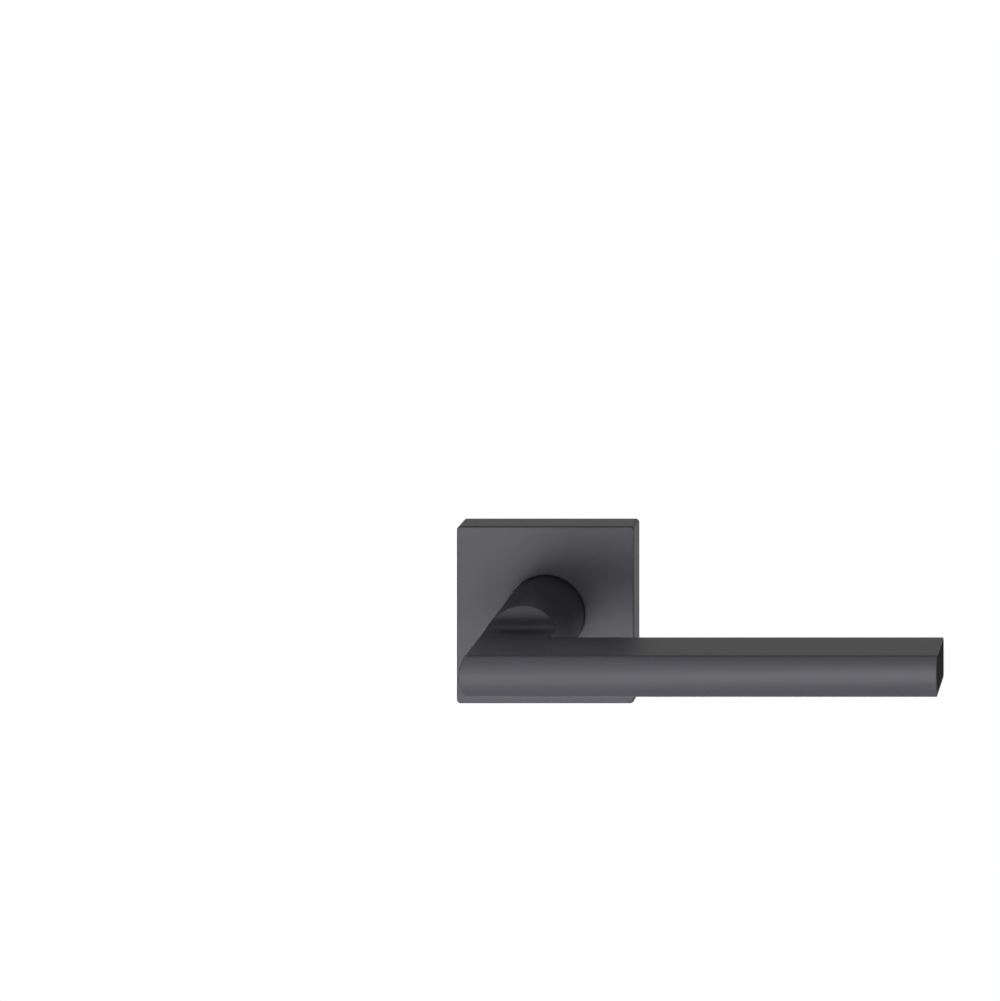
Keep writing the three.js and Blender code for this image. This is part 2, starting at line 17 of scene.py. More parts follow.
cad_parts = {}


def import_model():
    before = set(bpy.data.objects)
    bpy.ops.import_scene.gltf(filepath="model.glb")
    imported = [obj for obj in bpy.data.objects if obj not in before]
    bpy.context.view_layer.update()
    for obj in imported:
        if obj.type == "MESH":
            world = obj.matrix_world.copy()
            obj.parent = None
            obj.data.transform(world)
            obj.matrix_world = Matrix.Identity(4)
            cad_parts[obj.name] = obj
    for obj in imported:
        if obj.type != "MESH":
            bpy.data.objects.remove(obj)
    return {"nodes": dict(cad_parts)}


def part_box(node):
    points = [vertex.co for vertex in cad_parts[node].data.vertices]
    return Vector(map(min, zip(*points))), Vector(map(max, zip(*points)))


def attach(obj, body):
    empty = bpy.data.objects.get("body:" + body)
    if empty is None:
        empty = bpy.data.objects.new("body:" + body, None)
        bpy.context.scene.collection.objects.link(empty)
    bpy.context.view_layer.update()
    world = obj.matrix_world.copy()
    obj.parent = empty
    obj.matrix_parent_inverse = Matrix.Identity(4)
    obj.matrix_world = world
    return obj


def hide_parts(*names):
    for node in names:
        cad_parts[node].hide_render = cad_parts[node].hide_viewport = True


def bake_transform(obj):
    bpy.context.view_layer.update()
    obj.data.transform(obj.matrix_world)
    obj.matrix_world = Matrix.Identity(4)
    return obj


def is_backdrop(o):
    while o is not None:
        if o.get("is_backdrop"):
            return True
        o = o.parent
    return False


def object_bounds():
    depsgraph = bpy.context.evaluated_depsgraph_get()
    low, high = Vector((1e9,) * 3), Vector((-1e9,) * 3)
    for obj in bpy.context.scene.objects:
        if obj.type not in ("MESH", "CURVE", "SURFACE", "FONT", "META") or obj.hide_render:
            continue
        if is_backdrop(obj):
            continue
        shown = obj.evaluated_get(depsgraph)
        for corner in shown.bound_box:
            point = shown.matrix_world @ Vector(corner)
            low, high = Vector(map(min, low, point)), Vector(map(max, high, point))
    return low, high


log = logging.getLogger("lever_handle")

MM = 0.001
OVERSHOOT = 1.0  # mm, how far a cutting tool runs past the face that it opens
MERGE = 0.004  # mm, how near two points are when a cut has doubled them
WELD = 0.0005  # mm, how near two points are when they are the same point
TOUCH = 0.0001  # mm, how near a point is when it lies on a plane or on its own copy
THREAD_MERGE = 0.001  # mm, the same for the ends of a thread's turns
FLAT = 0.3  # degrees that two faces may turn and still be one flat face
Place = tuple[float, float, float]
EdgeTest = Callable[[Vector, Vector], bool]


# ---------------------------------------------------------------- places and selection


class Axis(Enum):
    """The way a round piece runs."""

    ACROSS = "x"
    OUT = "out"
    UP = "z"

    def point(self, along: float, a: float, b: float) -> Vector:
        """A point at a distance along the axis, and at a and b in the other two directions."""
        return {
            Axis.ACROSS: place(along, a, b),
            Axis.OUT: place(a, along, b),
            Axis.UP: place(a, b, along),
        }[self]

    @property
    def turn(self) -> tuple[float, float, float]:
        """The rotation that lays Blender's local Z along the axis."""
        quarter = math.pi / 2
        return {Axis.ACROSS: (0, quarter, 0), Axis.OUT: (quarter, 0, 0), Axis.UP: (0, 0, 0)}[self]


class Combine(Enum):
    """How one solid acts on another."""

    CUT = "DIFFERENCE"
    JOIN = "UNION"
    KEEP_COMMON = "INTERSECT"


@dataclass(frozen=True)
class Extent:
    """The box of a node of the frame, in millimetres."""

    low: Place
    high: Place

    @classmethod
    def of(cls, node: str) -> "Extent":
        """Reads a node's box.

        Args:
            node: the node's name.

        Returns:
            Its lowest and highest x, out and z.
        """
        low, high = (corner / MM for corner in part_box(node))
        return cls((low.x, -high.y, low.z), (high.x, -low.y, high.z))

    @property
    def middle(self) -> Place:
        """The middle of the box."""
        return tuple((a + b) / 2 for a, b in zip(self.low, self.high))

    @property
    def size(self) -> Place:
        """The box's size along x, out and z."""
        return tuple(b - a for a, b in zip(self.low, self.high))


def place(x: float, out: float, z: float) -> Vector:
    """A point in Blender's metres."""
    return Vector((x, -out, z)) * MM


def polar(radius: float, degrees: float) -> tuple[float, float]:
    """The x and z of a point round the spindle's axis, counted from x towards z."""
    return radius * math.cos(math.radians(degrees)), radius * math.sin(math.radians(degrees))


def deselect() -> None:
    """Leaves nothing selected, in object mode."""
    if bpy.context.object and bpy.context.object.mode != "OBJECT":
        bpy.ops.object.mode_set(mode="OBJECT")
    bpy.ops.object.select_all(action="DESELECT")


def only(obj: bpy.types.Object) -> None:
    """Selects one object and makes it the active one.

    Args:
        obj: the object.
    """
    deselect()
    obj.select_set(True)
    bpy.context.view_layer.objects.active = obj


def settle(obj: bpy.types.Object) -> bpy.types.Object:
    """Moves an object's place into its mesh, so that the object is at the origin.

    Args:
        obj: the object.

    Returns:
        The object.
    """
    only(obj)
    bpy.ops.object.transform_apply(location=True, rotation=True, scale=True)
    return obj


@contextmanager
def editing(obj: bpy.types.Object) -> Iterator[None]:
    """Opens a mesh in edit mode with all of it selected, and closes it afterwards.

    Args:
        obj: the mesh.

    Yields:
        Nothing, while the mesh is open.
    """
    only(obj)
    bpy.ops.object.mode_set(mode="EDIT")
    bpy.ops.mesh.select_all(action="SELECT")
    yield
    bpy.ops.object.mode_set(mode="OBJECT")


def clear_marks(obj: bpy.types.Object) -> None:
    """Leaves no point, edge or face of a mesh selected.

    Args:
        obj: the mesh.
    """
    only(obj)
    for parts in (obj.data.vertices, obj.data.edges, obj.data.polygons):
        parts.foreach_set("select", [False] * len(parts))


def mark_edges(obj: bpy.types.Object, test: EdgeTest) -> None:
    """Opens edit mode with some edges selected.

    Args:
        obj: the mesh.
        test: says of an edge's two ends, as (x, out, z), whether it is taken.
    """
    clear_marks(obj)
    spots = [Vector((v.co.x, -v.co.y, v.co.z)) / MM for v in obj.data.vertices]
    for edge in obj.data.edges:
        a, b = edge.vertices
        if test(spots[a], spots[b]):
            edge.select = True
            obj.data.vertices[a].select = True
            obj.data.vertices[b].select = True
    bpy.context.tool_settings.mesh_select_mode = (False, True, False)
    bpy.ops.object.mode_set(mode="EDIT")


def near(a: float, b: float, within: float = 0.02) -> bool:
    """Whether two sizes are the same, but for rounding."""
    return abs(a - b) < within


# ---------------------------------------------------------------- starting shapes and cuts


def block(name: str, low: Place, high: Place) -> bpy.types.Object:
    """A square block between two corners.

    Args:
        name: the object's name.
        low: its lowest x, out and z.
        high: its highest x, out and z.

    Returns:
        The block, with its place in its mesh.
    """
    middle = place(*((a + b) / 2 for a, b in zip(low, high)))
    size = [(b - a) * MM for a, b in zip(low, high)]
    deselect()
    bpy.ops.mesh.primitive_cube_add(size=1, location=middle, scale=size)
    made = bpy.context.object
    made.name = name
    return settle(made)


def rod(name: str, axis: Axis, radius: float, start: float, end: float,
        centre: tuple[float, float] = (0.0, 0.0), sides: int = 64) -> bpy.types.Object:
    """A round rod.

    Args:
        name: the object's name.
        axis: the way that it runs.
        radius: its radius.
        start: where it starts along the axis.
        end: where it ends.
        centre: where it stands in the other two directions.
        sides: how many flats stand for the round.

    Returns:
        The rod, closed at both ends.
    """
    deselect()
    bpy.ops.mesh.primitive_cylinder_add(
        vertices=sides, radius=radius * MM, depth=(end - start) * MM,
        location=axis.point((start + end) / 2, *centre), rotation=axis.turn,
    )
    made = bpy.context.object
    made.name = name
    return settle(made)


def turned(name: str, profile: Sequence[tuple[float, float]],
           centre: tuple[float, float] = (0.0, 0.0), sides: int = 64) -> bpy.types.Object:
    """A turned piece on an axis that runs out of the door: a disc extruded and resized in steps.

    Args:
        name: the object's name.
        profile: (radius, out) pairs from one end to the other, a radius of 0 closing to a point.
        centre: the axis's x and z.
        sides: how many flats stand for the round.

    Returns:
        The piece, closed at both ends.
    """
    radius, out = profile[0]
    deselect()
    bpy.ops.mesh.primitive_circle_add(
        vertices=sides, radius=radius * MM, fill_type="NGON",
        location=Axis.OUT.point(out, *centre), rotation=Axis.OUT.turn,
    )
    made = bpy.context.object
    made.name = name
    settle(made)
    bpy.context.tool_settings.mesh_select_mode = (False, False, True)
    bpy.ops.object.mode_set(mode="EDIT")
    bpy.ops.mesh.select_all(action="SELECT")
    for next_radius, next_out in profile[1:]:
        bpy.ops.mesh.extrude_region_move(
            TRANSFORM_OT_translate={"value": (0, (out - next_out) * MM, 0)})
        if next_radius == 0:
            bpy.ops.mesh.merge(type="CENTER")
            break
        share = next_radius / radius
        bpy.ops.transform.resize(
            value=(share, 1, share), center_override=Axis.OUT.point(next_out, *centre))
        radius, out = next_radius, next_out
    bpy.ops.mesh.select_all(action="SELECT")
    bpy.ops.mesh.normals_make_consistent(inside=False)
    bpy.ops.object.mode_set(mode="OBJECT")
    return made


def combine(target: bpy.types.Object, how: Combine, *tools: bpy.types.Object) -> bpy.types.Object:
    """Cuts, joins or trims one solid by others, which are used up.

    Args:
        target: the solid that stays.
        how: what each tool does to it.
        tools: the solids that act on it.

    Returns:
        The target.
    """
    for tool in tools:
        only(target)
        act = target.modifiers.new("combine", "BOOLEAN")
        act.operation = how.value
        act.object = tool
        act.solver = "EXACT"
        bpy.ops.object.modifier_apply(modifier=act.name)
        bpy.data.objects.remove(tool)
    return target


def slice_off(obj: bpy.types.Object, point: Place, way: Place, fill: bool = True) -> bpy.types.Object:
    """Removes what lies past a plane.

    Args:
        obj: the solid.
        point: a point of the plane, as (x, out, z).
        way: the direction that is removed, as (x, out, z).
        fill: whether the cut is closed by a face.

    Returns:
        The solid.
    """
    with editing(obj):
        bpy.ops.mesh.bisect(
            plane_co=place(*point), plane_no=place(*way).normalized(), use_fill=fill,
            clear_outer=True, clear_inner=False, threshold=TOUCH * MM,
        )
    return obj


def round_edges(obj: bpy.types.Object, radius: float, segments: int, test: EdgeTest) -> None:
    """Rounds chosen edges.

    Args:
        obj: the solid.
        radius: radius of the rounding.
        segments: how many flats it has.
        test: says which edges are rounded, as in mark_edges.
    """
    mark_edges(obj, test)
    bpy.ops.mesh.bevel(
        offset=radius * MM, offset_type="OFFSET", segments=segments, affect="EDGES")
    bpy.ops.object.mode_set(mode="OBJECT")


def tidy(obj: bpy.types.Object) -> bpy.types.Object:
    """Merges doubled points and joins the flat faces that cuts have split.

    Args:
        obj: the mesh.

    Returns:
        The mesh, with its faces outwards.
    """
    with editing(obj):
        bpy.ops.mesh.remove_doubles(threshold=MERGE * MM)
        bpy.ops.mesh.dissolve_limited(angle_limit=math.radians(FLAT))
        bpy.ops.mesh.normals_make_consistent(inside=False)
    return obj


def weld(obj: bpy.types.Object) -> bpy.types.Object:
    """Merges points that lie on each other and drops what has no area.

    Args:
        obj: the mesh.

    Returns:
        The mesh, with its faces outwards.
    """
    with editing(obj):
        bpy.ops.mesh.remove_doubles(threshold=WELD * MM)
        bpy.ops.mesh.dissolve_degenerate(threshold=WELD * MM)
        bpy.ops.mesh.normals_make_consistent(inside=False)
    return obj


def ease(obj: bpy.types.Object, radius: float, segments: int = 3, sharpest: float = 35.0,
         smooth: float = 40.0) -> bpy.types.Object:
    """Eases every sharp edge a little and smooths the shading, as a last step.

    Args:
        obj: the solid.
        radius: how far each edge is eased.
        segments: how many flats the eased edge has.
        sharpest: edges that turn by more than this many degrees are eased.
        smooth: edges that turn by less than this many degrees are shaded smooth.

    Returns:
        The solid.
    """
    only(obj)
    edges = obj.modifiers.new("edges", "BEVEL")
    edges.width = radius * MM
    edges.segments = segments
    edges.limit_method = "ANGLE"
    edges.angle_limit = math.radians(sharpest)
    edges.use_clamp_overlap = False
    edges.miter_outer = "MITER_ARC"
    bpy.ops.object.modifier_apply(modifier=edges.name)
    weld(obj)
    bpy.ops.object.shade_smooth_by_angle(angle=math.radians(smooth))
    weights = obj.modifiers.new("weights", "WEIGHTED_NORMAL")
    weights.keep_sharp = True
    bpy.ops.object.modifier_apply(modifier=weights.name)
    return obj


def copy_to(obj: bpy.types.Object, name: str, shift: Place, turn: float = 0.0) -> bpy.types.Object:
    """Copies a piece, mesh and all, to another place.

    Args:
        obj: the piece that is copied.
        name: the copy's name.
        shift: how far it is moved, as (x, out, z).
        turn: degrees that it turns on the spindle's axis before it moves.

    Returns:
        The copy, with its place in its mesh.
    """
    made = obj.copy()
    made.data = obj.data.copy()
    made.name = name
    bpy.context.scene.collection.objects.link(made)
    made.matrix_world = (
        Matrix.Translation(place(*shift)) @ Matrix.Rotation(math.radians(turn), 4, "Y"))
    bpy.context.view_layer.update()
    return settle(made)


def arc_blank(name: str, inner: float, outer: float, angles: tuple[float, float],
              depth: tuple[float, float]) -> bpy.types.Object:
    """A slice of a ring round the spindle's axis.

    Args:
        name: the object's name.
        inner: its inner radius.
        outer: its outer radius.
        angles: where it starts and ends, in degrees from x towards z, less than 180 apart.
        depth: its lowest and highest out.

    Returns:
        The slice.
    """
    blank = combine(
        rod(name, Axis.OUT, outer, *depth),
        Combine.CUT,
        rod("bore", Axis.OUT, inner, depth[0] - OVERSHOOT, depth[1] + OVERSHOOT),
    )
    for angle, side in zip(angles, (-1, 1)):
        x, z = polar(1, angle + side * 90)
        slice_off(blank, (0, 0, 0), (x, 0, z))
    return blank


# ---------------------------------------------------------------- finishes


def linear(colour: str) -> tuple[float, float, float, float]:
    """An sRGB colour written as #rrggbb, as the linear colour that a shader takes."""
    shares = [int(colour[i:i + 2], 16) / 255 for i in (1, 3, 5)]
    return *(s / 12.92 if s <= 0.04045 else ((s + 0.055) / 1.055) ** 2.4 for s in shares), 1.0


def add(tree: bpy.types.NodeTree, kind: str, settings: dict | None = None,
        values: dict | None = None, links: dict | None = None) -> bpy.types.Node:
    """Adds a node.

    Args:
        tree: the tree that it joins.
        kind: the node's type.
        settings: its own settings, by name.
        values: what its unlinked inputs hold, by input name or number.
        links: the sockets that feed its other inputs, by input name or number.

    Returns:
        The node.
    """
    node = tree.nodes.new(kind)
    for name, value in (settings or {}).items():
        setattr(node, name, value)
    for name, value in (values or {}).items():
        node.inputs[name].default_value = value
    for name, socket in (links or {}).items():
        tree.links.new(socket, node.inputs[name])
    return node


class Marks(Enum):
    """What the making of a surface leaves on it."""

    GRAIN = "an even fine grain"
    FLOW = "grain over soft flow marks"
    DRAWN = "fine lines along the piece"
    TURNED = "fine rings round the axis"


@dataclass(frozen=True)
class Finish:
    """A surface finish: a material made of nodes, and the name of the slot that it belongs to."""

    title: str
    slot: str
    dark: str
    light: str
    metallic: float
    roughness: float
    marks: Marks
    grain: float  # mm from one mark to the next
    relief: float  # mm between the marks' crests and hollows
    roughness_spread: float = 0.04
    patch: float = 6.0  # mm across the soft colour changes
    ior: float = 1.5

    def marks_node(self, tree: bpy.types.NodeTree, at: bpy.types.NodeSocket) -> bpy.types.NodeSocket:
        """Adds the nodes that draw the marks.

        Args:
            tree: the material's nodes.
            at: the place on the piece.

        Returns:
            The marks' height, from 0 to 1.
        """
        per_metre = 1 / (self.grain * MM)
        if self.marks is Marks.TURNED:
            flat = add(tree, "ShaderNodeMapping", values={"Scale": (1, 0, 1)}, links={"Vector": at})
            rings = add(
                tree, "ShaderNodeTexWave", {"wave_type": "RINGS", "rings_direction": "SPHERICAL"},
                {"Scale": per_metre / 20, "Distortion": 0.6, "Detail": 2.0},
                {"Vector": flat.outputs["Vector"]},
            )
            return rings.outputs["Fac"]
        stretch = (1, 0.02, 1) if self.marks is Marks.DRAWN else (1, 1, 1)
        laid = add(tree, "ShaderNodeMapping", values={"Scale": stretch}, links={"Vector": at})
        grain = add(
            tree, "ShaderNodeTexNoise", {"noise_dimensions": "3D"},
            {"Scale": per_metre, "Detail": 3.0, "Roughness": 0.6},
            {"Vector": laid.outputs["Vector"]},
        )
        return grain.outputs["Fac"]

    def material(self) -> bpy.types.Material:
        """Makes the material, or finds it if it is already made.

        Returns:
            The material.
        """
        if self.title in bpy.data.materials:
            return bpy.data.materials[self.title]
        made = bpy.data.materials.new(self.title)
        made.use_nodes = True
        tree = made.node_tree
        tree.nodes.clear()
        at = add(tree, "ShaderNodeTexCoord").outputs["Object"]
        marks = self.marks_node(tree, at)
        patches = add(
            tree, "ShaderNodeTexNoise", {},
            {"Scale": 1 / (self.patch * MM), "Detail": 2.0, "Roughness": 0.5}, {"Vector": at},
        ).outputs["Fac"]
        weight = 0.7 if self.marks is Marks.FLOW else 0.3
        blend = add(
            tree, "ShaderNodeMix", {"data_type": "FLOAT"}, {0: weight}, {2: marks, 3: patches},
        ).outputs[0]
        colour = add(
            tree, "ShaderNodeMix", {"data_type": "RGBA"},
            {6: linear(self.dark), 7: linear(self.light)}, {0: blend},
        ).outputs[2]
        rough = add(
            tree, "ShaderNodeMapRange", {},
            {"From Min": 0.3, "From Max": 0.7, "To Min": self.roughness - self.roughness_spread,
             "To Max": self.roughness + self.roughness_spread},
            {"Value": blend},
        ).outputs["Result"]
        relief = add(
            tree, "ShaderNodeBump", {}, {"Strength": 1.0, "Distance": self.relief * MM},
            {"Height": marks},
        ).outputs["Normal"]
        surface = add(
            tree, "ShaderNodeBsdfPrincipled", {}, {"Metallic": self.metallic, "IOR": self.ior},
            {"Base Color": colour, "Roughness": rough, "Normal": relief},
        )
        add(tree, "ShaderNodeOutputMaterial", links={"Surface": surface.outputs["BSDF"]})
        return made


# Graphite powder coat on a zinc casting: a dark, slightly violet grey. The fine powder grain
# breaks the light into a soft satin sheen that brightens only where it is seen edge on. The
# real grain is about 0.1 mm, drawn at 0.35 mm so that it shows.
GRAPHITE_COAT = Finish(
    "graphite_powder_coat", "graphite_coat", "#55545c", "#5d5c64", 0.0, 0.4,
    Marks.GRAIN, grain=0.35, relief=0.006, roughness_spread=0.03,
)
# Moulded black polyamide: deep black with a faint spark-eroded texture, so it has no clear
# reflections, only a dull bloom.
BLACK_PLASTIC = Finish(
    "moulded_black_polyamide", "black_plastic", "#0c0c0d", "#101011", 0.0, 0.9,
    Marks.GRAIN, grain=0.3, relief=0.025, ior=1.46,
)
# Zinc die casting, left as cast: dull mid grey, clouded by the flow of the metal in the die.
ZINC_CASTING = Finish(
    "as_cast_zinc", "zinc_casting", "#8b8b8a", "#a9a9a6", 1.0, 0.48,
    Marks.FLOW, grain=0.25, relief=0.012, roughness_spread=0.08, patch=5.0,
)
# Bright zinc plating on steel: a pale, faintly blue metal with soft mirror-like streaks.
PLATED_STEEL = Finish(
    "zinc_plated_steel", "plated_steel", "#b7babd", "#cdd0d2", 1.0, 0.3,
    Marks.FLOW, grain=0.3, relief=0.003, roughness_spread=0.06, patch=8.0,
)
# Cold-drawn bar, zinc plated: the die leaves fine lines along the bar under the plating.
DRAWN_STEEL = Finish(
    "drawn_plated_steel", "plated_steel", "#b2b5b8", "#c9cccf", 1.0, 0.32,
    Marks.DRAWN, grain=0.25, relief=0.006, roughness_spread=0.06,
)
# Oiled spring steel: a dark metal, blued by its hardening, with narrow highlights.
SPRING_STEEL = Finish(
    "oiled_spring_steel", "spring_steel", "#606167", "#77787d", 1.0, 0.28,
    Marks.GRAIN, grain=0.2, relief=0.002,
)
# Turned natural acetal: waxy off-white with the fine rings of the lathe tool.
WHITE_ACETAL = Finish(
    "turned_natural_acetal", "white_acetal", "#dedcd3", "#e9e7df", 0.0, 0.4,
    Marks.TURNED, grain=0.15, relief=0.004, ior=1.48,
)


# ---------------------------------------------------------------- sub-assemblies


@dataclass
class SubAssembly:
    """Pieces that ride on one body of the frame."""

    body: str
    made: list[bpy.types.Object] = field(default_factory=list)

    def take(self, piece: bpy.types.Object, finish: Finish, node: str,
             rides: bool = True) -> bpy.types.Object:
        """Dresses a finished piece and lets it stand for a node of the frame.

        Args:
            piece: the finished piece.
            finish: its surface finish.
            node: the node that it stands for.
            rides: whether it rides on the body; a piece that doesn't is left unattached.

        Returns:
            The piece.
        """
        piece.name = f"{node}_finished"
        piece.data.name = piece.name
        piece.data.materials.clear()
        piece.data.materials.append(finish.material())
        if rides:
            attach(piece, self.body)
        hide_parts(node)
        self.made.append(piece)
        log.info("%s: %d faces, %s", piece.name, len(piece.data.polygons), finish.title)
        return piece


@dataclass
class LeverArm(SubAssembly):
    """What turns with the hand: the lever, its end plug, the spindle and what they drive."""

    body: str = "lever"
    bar_height: float = 11.5
    bar_depth: float = 17.9
    bar_back_corner: float = 1.2
    least_corner: float = 0.4  # of the bar's section when it is set in
    behind_from: float = 9.0  # out where the space behind the bar starts
    cove_radius: float = 5.0
    cove_out: float = 35.1
    edge: float = 0.3
    plug_rim: float = 0.7
    plug_face: float = 1.6
    plug_gap: float = 0.2
    plug_shank_step: float = 1.5
    plug_edge: float = 0.15
    shoulder_out: float = 6.9
    boss_radius: float = 7.98
    boss_chamfer: float = 0.4
    boss_flat: float = 1.7  # how far the cam's flats are cut into the boss
    boss_flat_past: float = 0.15  # how far they run past the cam
    groove_depth: float = 0.8
    spindle_chamfer: float = 0.7
    spindle_edge: float = 0.28
    socket_corner: float = 0.2
    key_width: float = 3.0  # across the flats of the grub screw's socket
    cup_radius: float = 1.6
    cup_depth: float = 0.6
    grub_edge: float = 0.2
    stop_notch_floor: float = 9.38  # radius of the notch that the stop pin stands in
    stop_notch: tuple[float, float] = (84.5, 140.5)  # degrees, where that notch starts and ends
    leg_notch_floor: float = 9.55
    leg_notch: tuple[float, float] = (-84.2, -55.8)
    leg_notch_depth: float = 1.6
    cam_edge: float = 0.12
    circlip_bite: float = 0.6  # how far the circlip reaches into its groove
    circlip_mouth: tuple[float, float] = (245.0, 295.0)  # degrees
    eye_angles: tuple[float, float] = (236.0, 304.0)  # degrees
    eye_radius: float = 0.55
    circlip_edge: float = 0.08
    gap: float = 0.3
    screw_gap: float = 0.2
    sides: int = 116

    def __post_init__(self) -> None:
        """Works out the lever's main sizes from the frame."""
        self.lever = Extent.of("lever")
        self.neck_radius = self.lever.high[2]
        self.reach = self.lever.high[0]
        self.projection = self.lever.high[1]
        self.bar_out = self.projection - self.neck_radius
        self.back_out = self.projection - self.bar_depth
        self.plug = Extent.of("lever_end_plug")
        self.spindle = Extent.of("spindle")
        self.grub = Extent.of("grub_screw")
        self.driver = Extent.of("spring_driver")
        self.clip = Extent.of("circlip")

    def build(self) -> None:
        """Models and dresses every piece of the lever's body."""
        self.take(self.build_lever(), GRAPHITE_COAT, "lever")
        self.take(self.build_plug(), BLACK_PLASTIC, "lever_end_plug")
        self.take(self.build_spindle(), DRAWN_STEEL, "spindle")
        self.take(self.build_grub_screw(), SPRING_STEEL, "grub_screw")
        self.take(self.build_driver(), PLATED_STEEL, "spring_driver")
        self.take(self.build_circlip(), SPRING_STEEL, "circlip")

    def mitred_round(self) -> bpy.types.Object:
        """The round neck and the round bar, each cut at 45 degrees and joined where they meet.

        Returns:
            The two, as one closed solid.
        """
        long = self.neck_radius + 2 * OVERSHOOT
        neck = rod("lever", Axis.OUT, self.neck_radius, self.shoulder_out,
                   self.bar_out + long, sides=self.sides)
        bar = rod("bar", Axis.ACROSS, self.neck_radius, -long, self.reach,
                  (self.bar_out, 0), self.sides)
        corner = (0, self.bar_out, 0)
        slice_off(neck, corner, (1, 1, 0), fill=False)
        slice_off(bar, corner, (-1, -1, 0), fill=False)
        deselect()
        bar.select_set(True)
        neck.select_set(True)
        bpy.context.view_layer.objects.active = neck
        bpy.ops.object.join()
        return tidy(neck)

    def behind_bar(self) -> bpy.types.Object:
        """What is cut away behind the bar: all but the neck and the bar's rounded back corners.

        Returns:
            The cutting solid.
        """
        half = self.bar_height / 2
        wide = 2 * self.neck_radius
        corner_out = self.back_out + self.bar_back_corner
        cutter = block("behind", (0, self.behind_from, -wide),
                       (self.reach + 2 * OVERSHOOT, corner_out, wide))
        core = block("core", (-2 * OVERSHOOT, self.back_out, -half),
                     (self.reach + 4 * OVERSHOOT, self.projection, half))
        round_edges(core, self.bar_back_corner, 6, lambda a, b: near(a.y, self.back_out)
                    and near(b.y, self.back_out) and near(a.z, b.z))
        neck = rod("neck_core", Axis.OUT, self.neck_radius, 0, self.projection, sides=self.sides)
        return combine(cutter, Combine.CUT, core, neck)

    def cove(self, side: int) -> bpy.types.Object:
        """What is cut away above or below the bar, with the cove's round in one long edge.

        Args:
            side: 1 above the bar, -1 below it.

        Returns:
            The cutting solid.
        """
        half = self.bar_height / 2
        top = self.neck_radius + 3 * OVERSHOOT
        low, high = sorted((side * half, side * top))
        cutter = block("cove", (-top, self.cove_out, low),
                       (self.reach + 2 * OVERSHOOT, self.projection + 3 * OVERSHOOT, high))
        round_edges(cutter, self.cove_radius, 14, lambda a, b: near(a.y, self.cove_out)
                    and near(b.y, self.cove_out) and near(abs(a.z), half) and near(abs(b.z), half))
        return cutter

    def boss(self) -> bpy.types.Object:
        """The boss behind the neck, with the circlip's groove and the two flats that drive the cam.

        Returns:
            The solid.
        """
        front = self.shoulder_out + OVERSHOOT
        groove_back = self.clip.low[1] - self.screw_gap
        groove_front = self.clip.high[1] + self.screw_gap
        groove = self.boss_radius - self.groove_depth
        back, chamfer = self.lever.low[1], self.boss_chamfer
        made = turned("boss", [
            (self.boss_radius - chamfer, back), (self.boss_radius, back + chamfer),
            (self.boss_radius, groove_back), (groove, groove_back), (groove, groove_front),
            (self.boss_radius, groove_front), (self.boss_radius, front),
        ])
        flat = self.boss_radius - self.boss_flat
        wide = self.boss_radius + OVERSHOOT
        flats = [
            block("flat", (-wide, -OVERSHOOT, min(side * flat, side * wide)),
                  (wide, self.driver.high[1] + self.boss_flat_past, max(side * flat, side * wide)))
            for side in (-1, 1)
        ]
        return combine(made, Combine.CUT, *flats)

    def bar_blank(self, inset: float, start: float, end: float) -> bpy.types.Object:
        """A length of the bar's section, set in from its faces.

        Args:
            inset: how far inside the bar's faces it stays.
            start: the x where it starts.
            end: the x where it ends.

        Returns:
            The solid.
        """
        half = self.bar_height / 2 - inset
        back = self.back_out + inset
        corner = max(self.bar_back_corner - inset, self.least_corner)
        blank = rod("bar_blank", Axis.ACROSS, self.neck_radius - inset, start, end,
                    (self.bar_out, 0), self.sides)
        for cut_at, way in (((0, 0, half), (0, 0, 1)), ((0, 0, -half), (0, 0, -1)),
                            ((0, back, 0), (0, -1, 0))):
            slice_off(blank, cut_at, way)
        round_edges(blank, corner, 5, lambda a, b: near(a.y, back) and near(b.y, back)
                    and near(a.z, b.z) and near(abs(a.z), half))
        return blank

    def build_lever(self) -> bpy.types.Object:
        """The lever: one casting, with coves, flats, a boss, the plug's pocket and the screw's hole.

        Returns:
            The finished piece.
        """
        lever = combine(
            self.mitred_round(), Combine.CUT, self.behind_bar(), self.cove(1), self.cove(-1))
        tidy(lever)
        pocket_floor = self.reach - (self.plug.high[0] - self.plug.low[0]) - self.gap
        face_floor = self.reach - self.plug_face - self.gap
        face_pocket = self.bar_blank(self.plug_rim, face_floor, self.reach + OVERSHOOT)
        shank_inset = self.plug_rim + self.plug_shank_step - self.gap
        shank_pocket = self.bar_blank(shank_inset, pocket_floor, face_floor + OVERSHOOT / 2)
        side = self.spindle.size[2] / 2 + self.gap
        socket = block("socket", (-side, -OVERSHOOT, -side),
                       (side, self.spindle.high[1] + self.gap, side))
        round_edges(socket, self.socket_corner, 3,
                    lambda a, b: near(a.x, b.x) and near(a.z, b.z))
        screw_hole = rod("screw_hole", Axis.UP, self.grub.size[0] / 2 + self.screw_gap,
                         -self.neck_radius - OVERSHOOT, 0, self.grub.middle[:2], sides=40)
        combine(lever, Combine.JOIN, self.boss())
        combine(lever, Combine.CUT, socket, screw_hole, face_pocket, shank_pocket)
        return ease(tidy(lever), self.edge, segments=3, sharpest=28)

    def build_plug(self) -> bpy.types.Object:
        """The plug in the bar's end: a flat face with the bar's section, and a shank behind it.

        Returns:
            The finished piece.
        """
        inset = self.plug_rim + self.plug_gap
        face = self.bar_blank(inset, self.reach - self.plug_face, self.reach)
        shank = self.bar_blank(self.plug_rim + self.plug_shank_step, self.plug.low[0],
                               self.reach - self.plug_face / 2)
        combine(face, Combine.JOIN, shank)
        return ease(tidy(face), self.plug_edge)

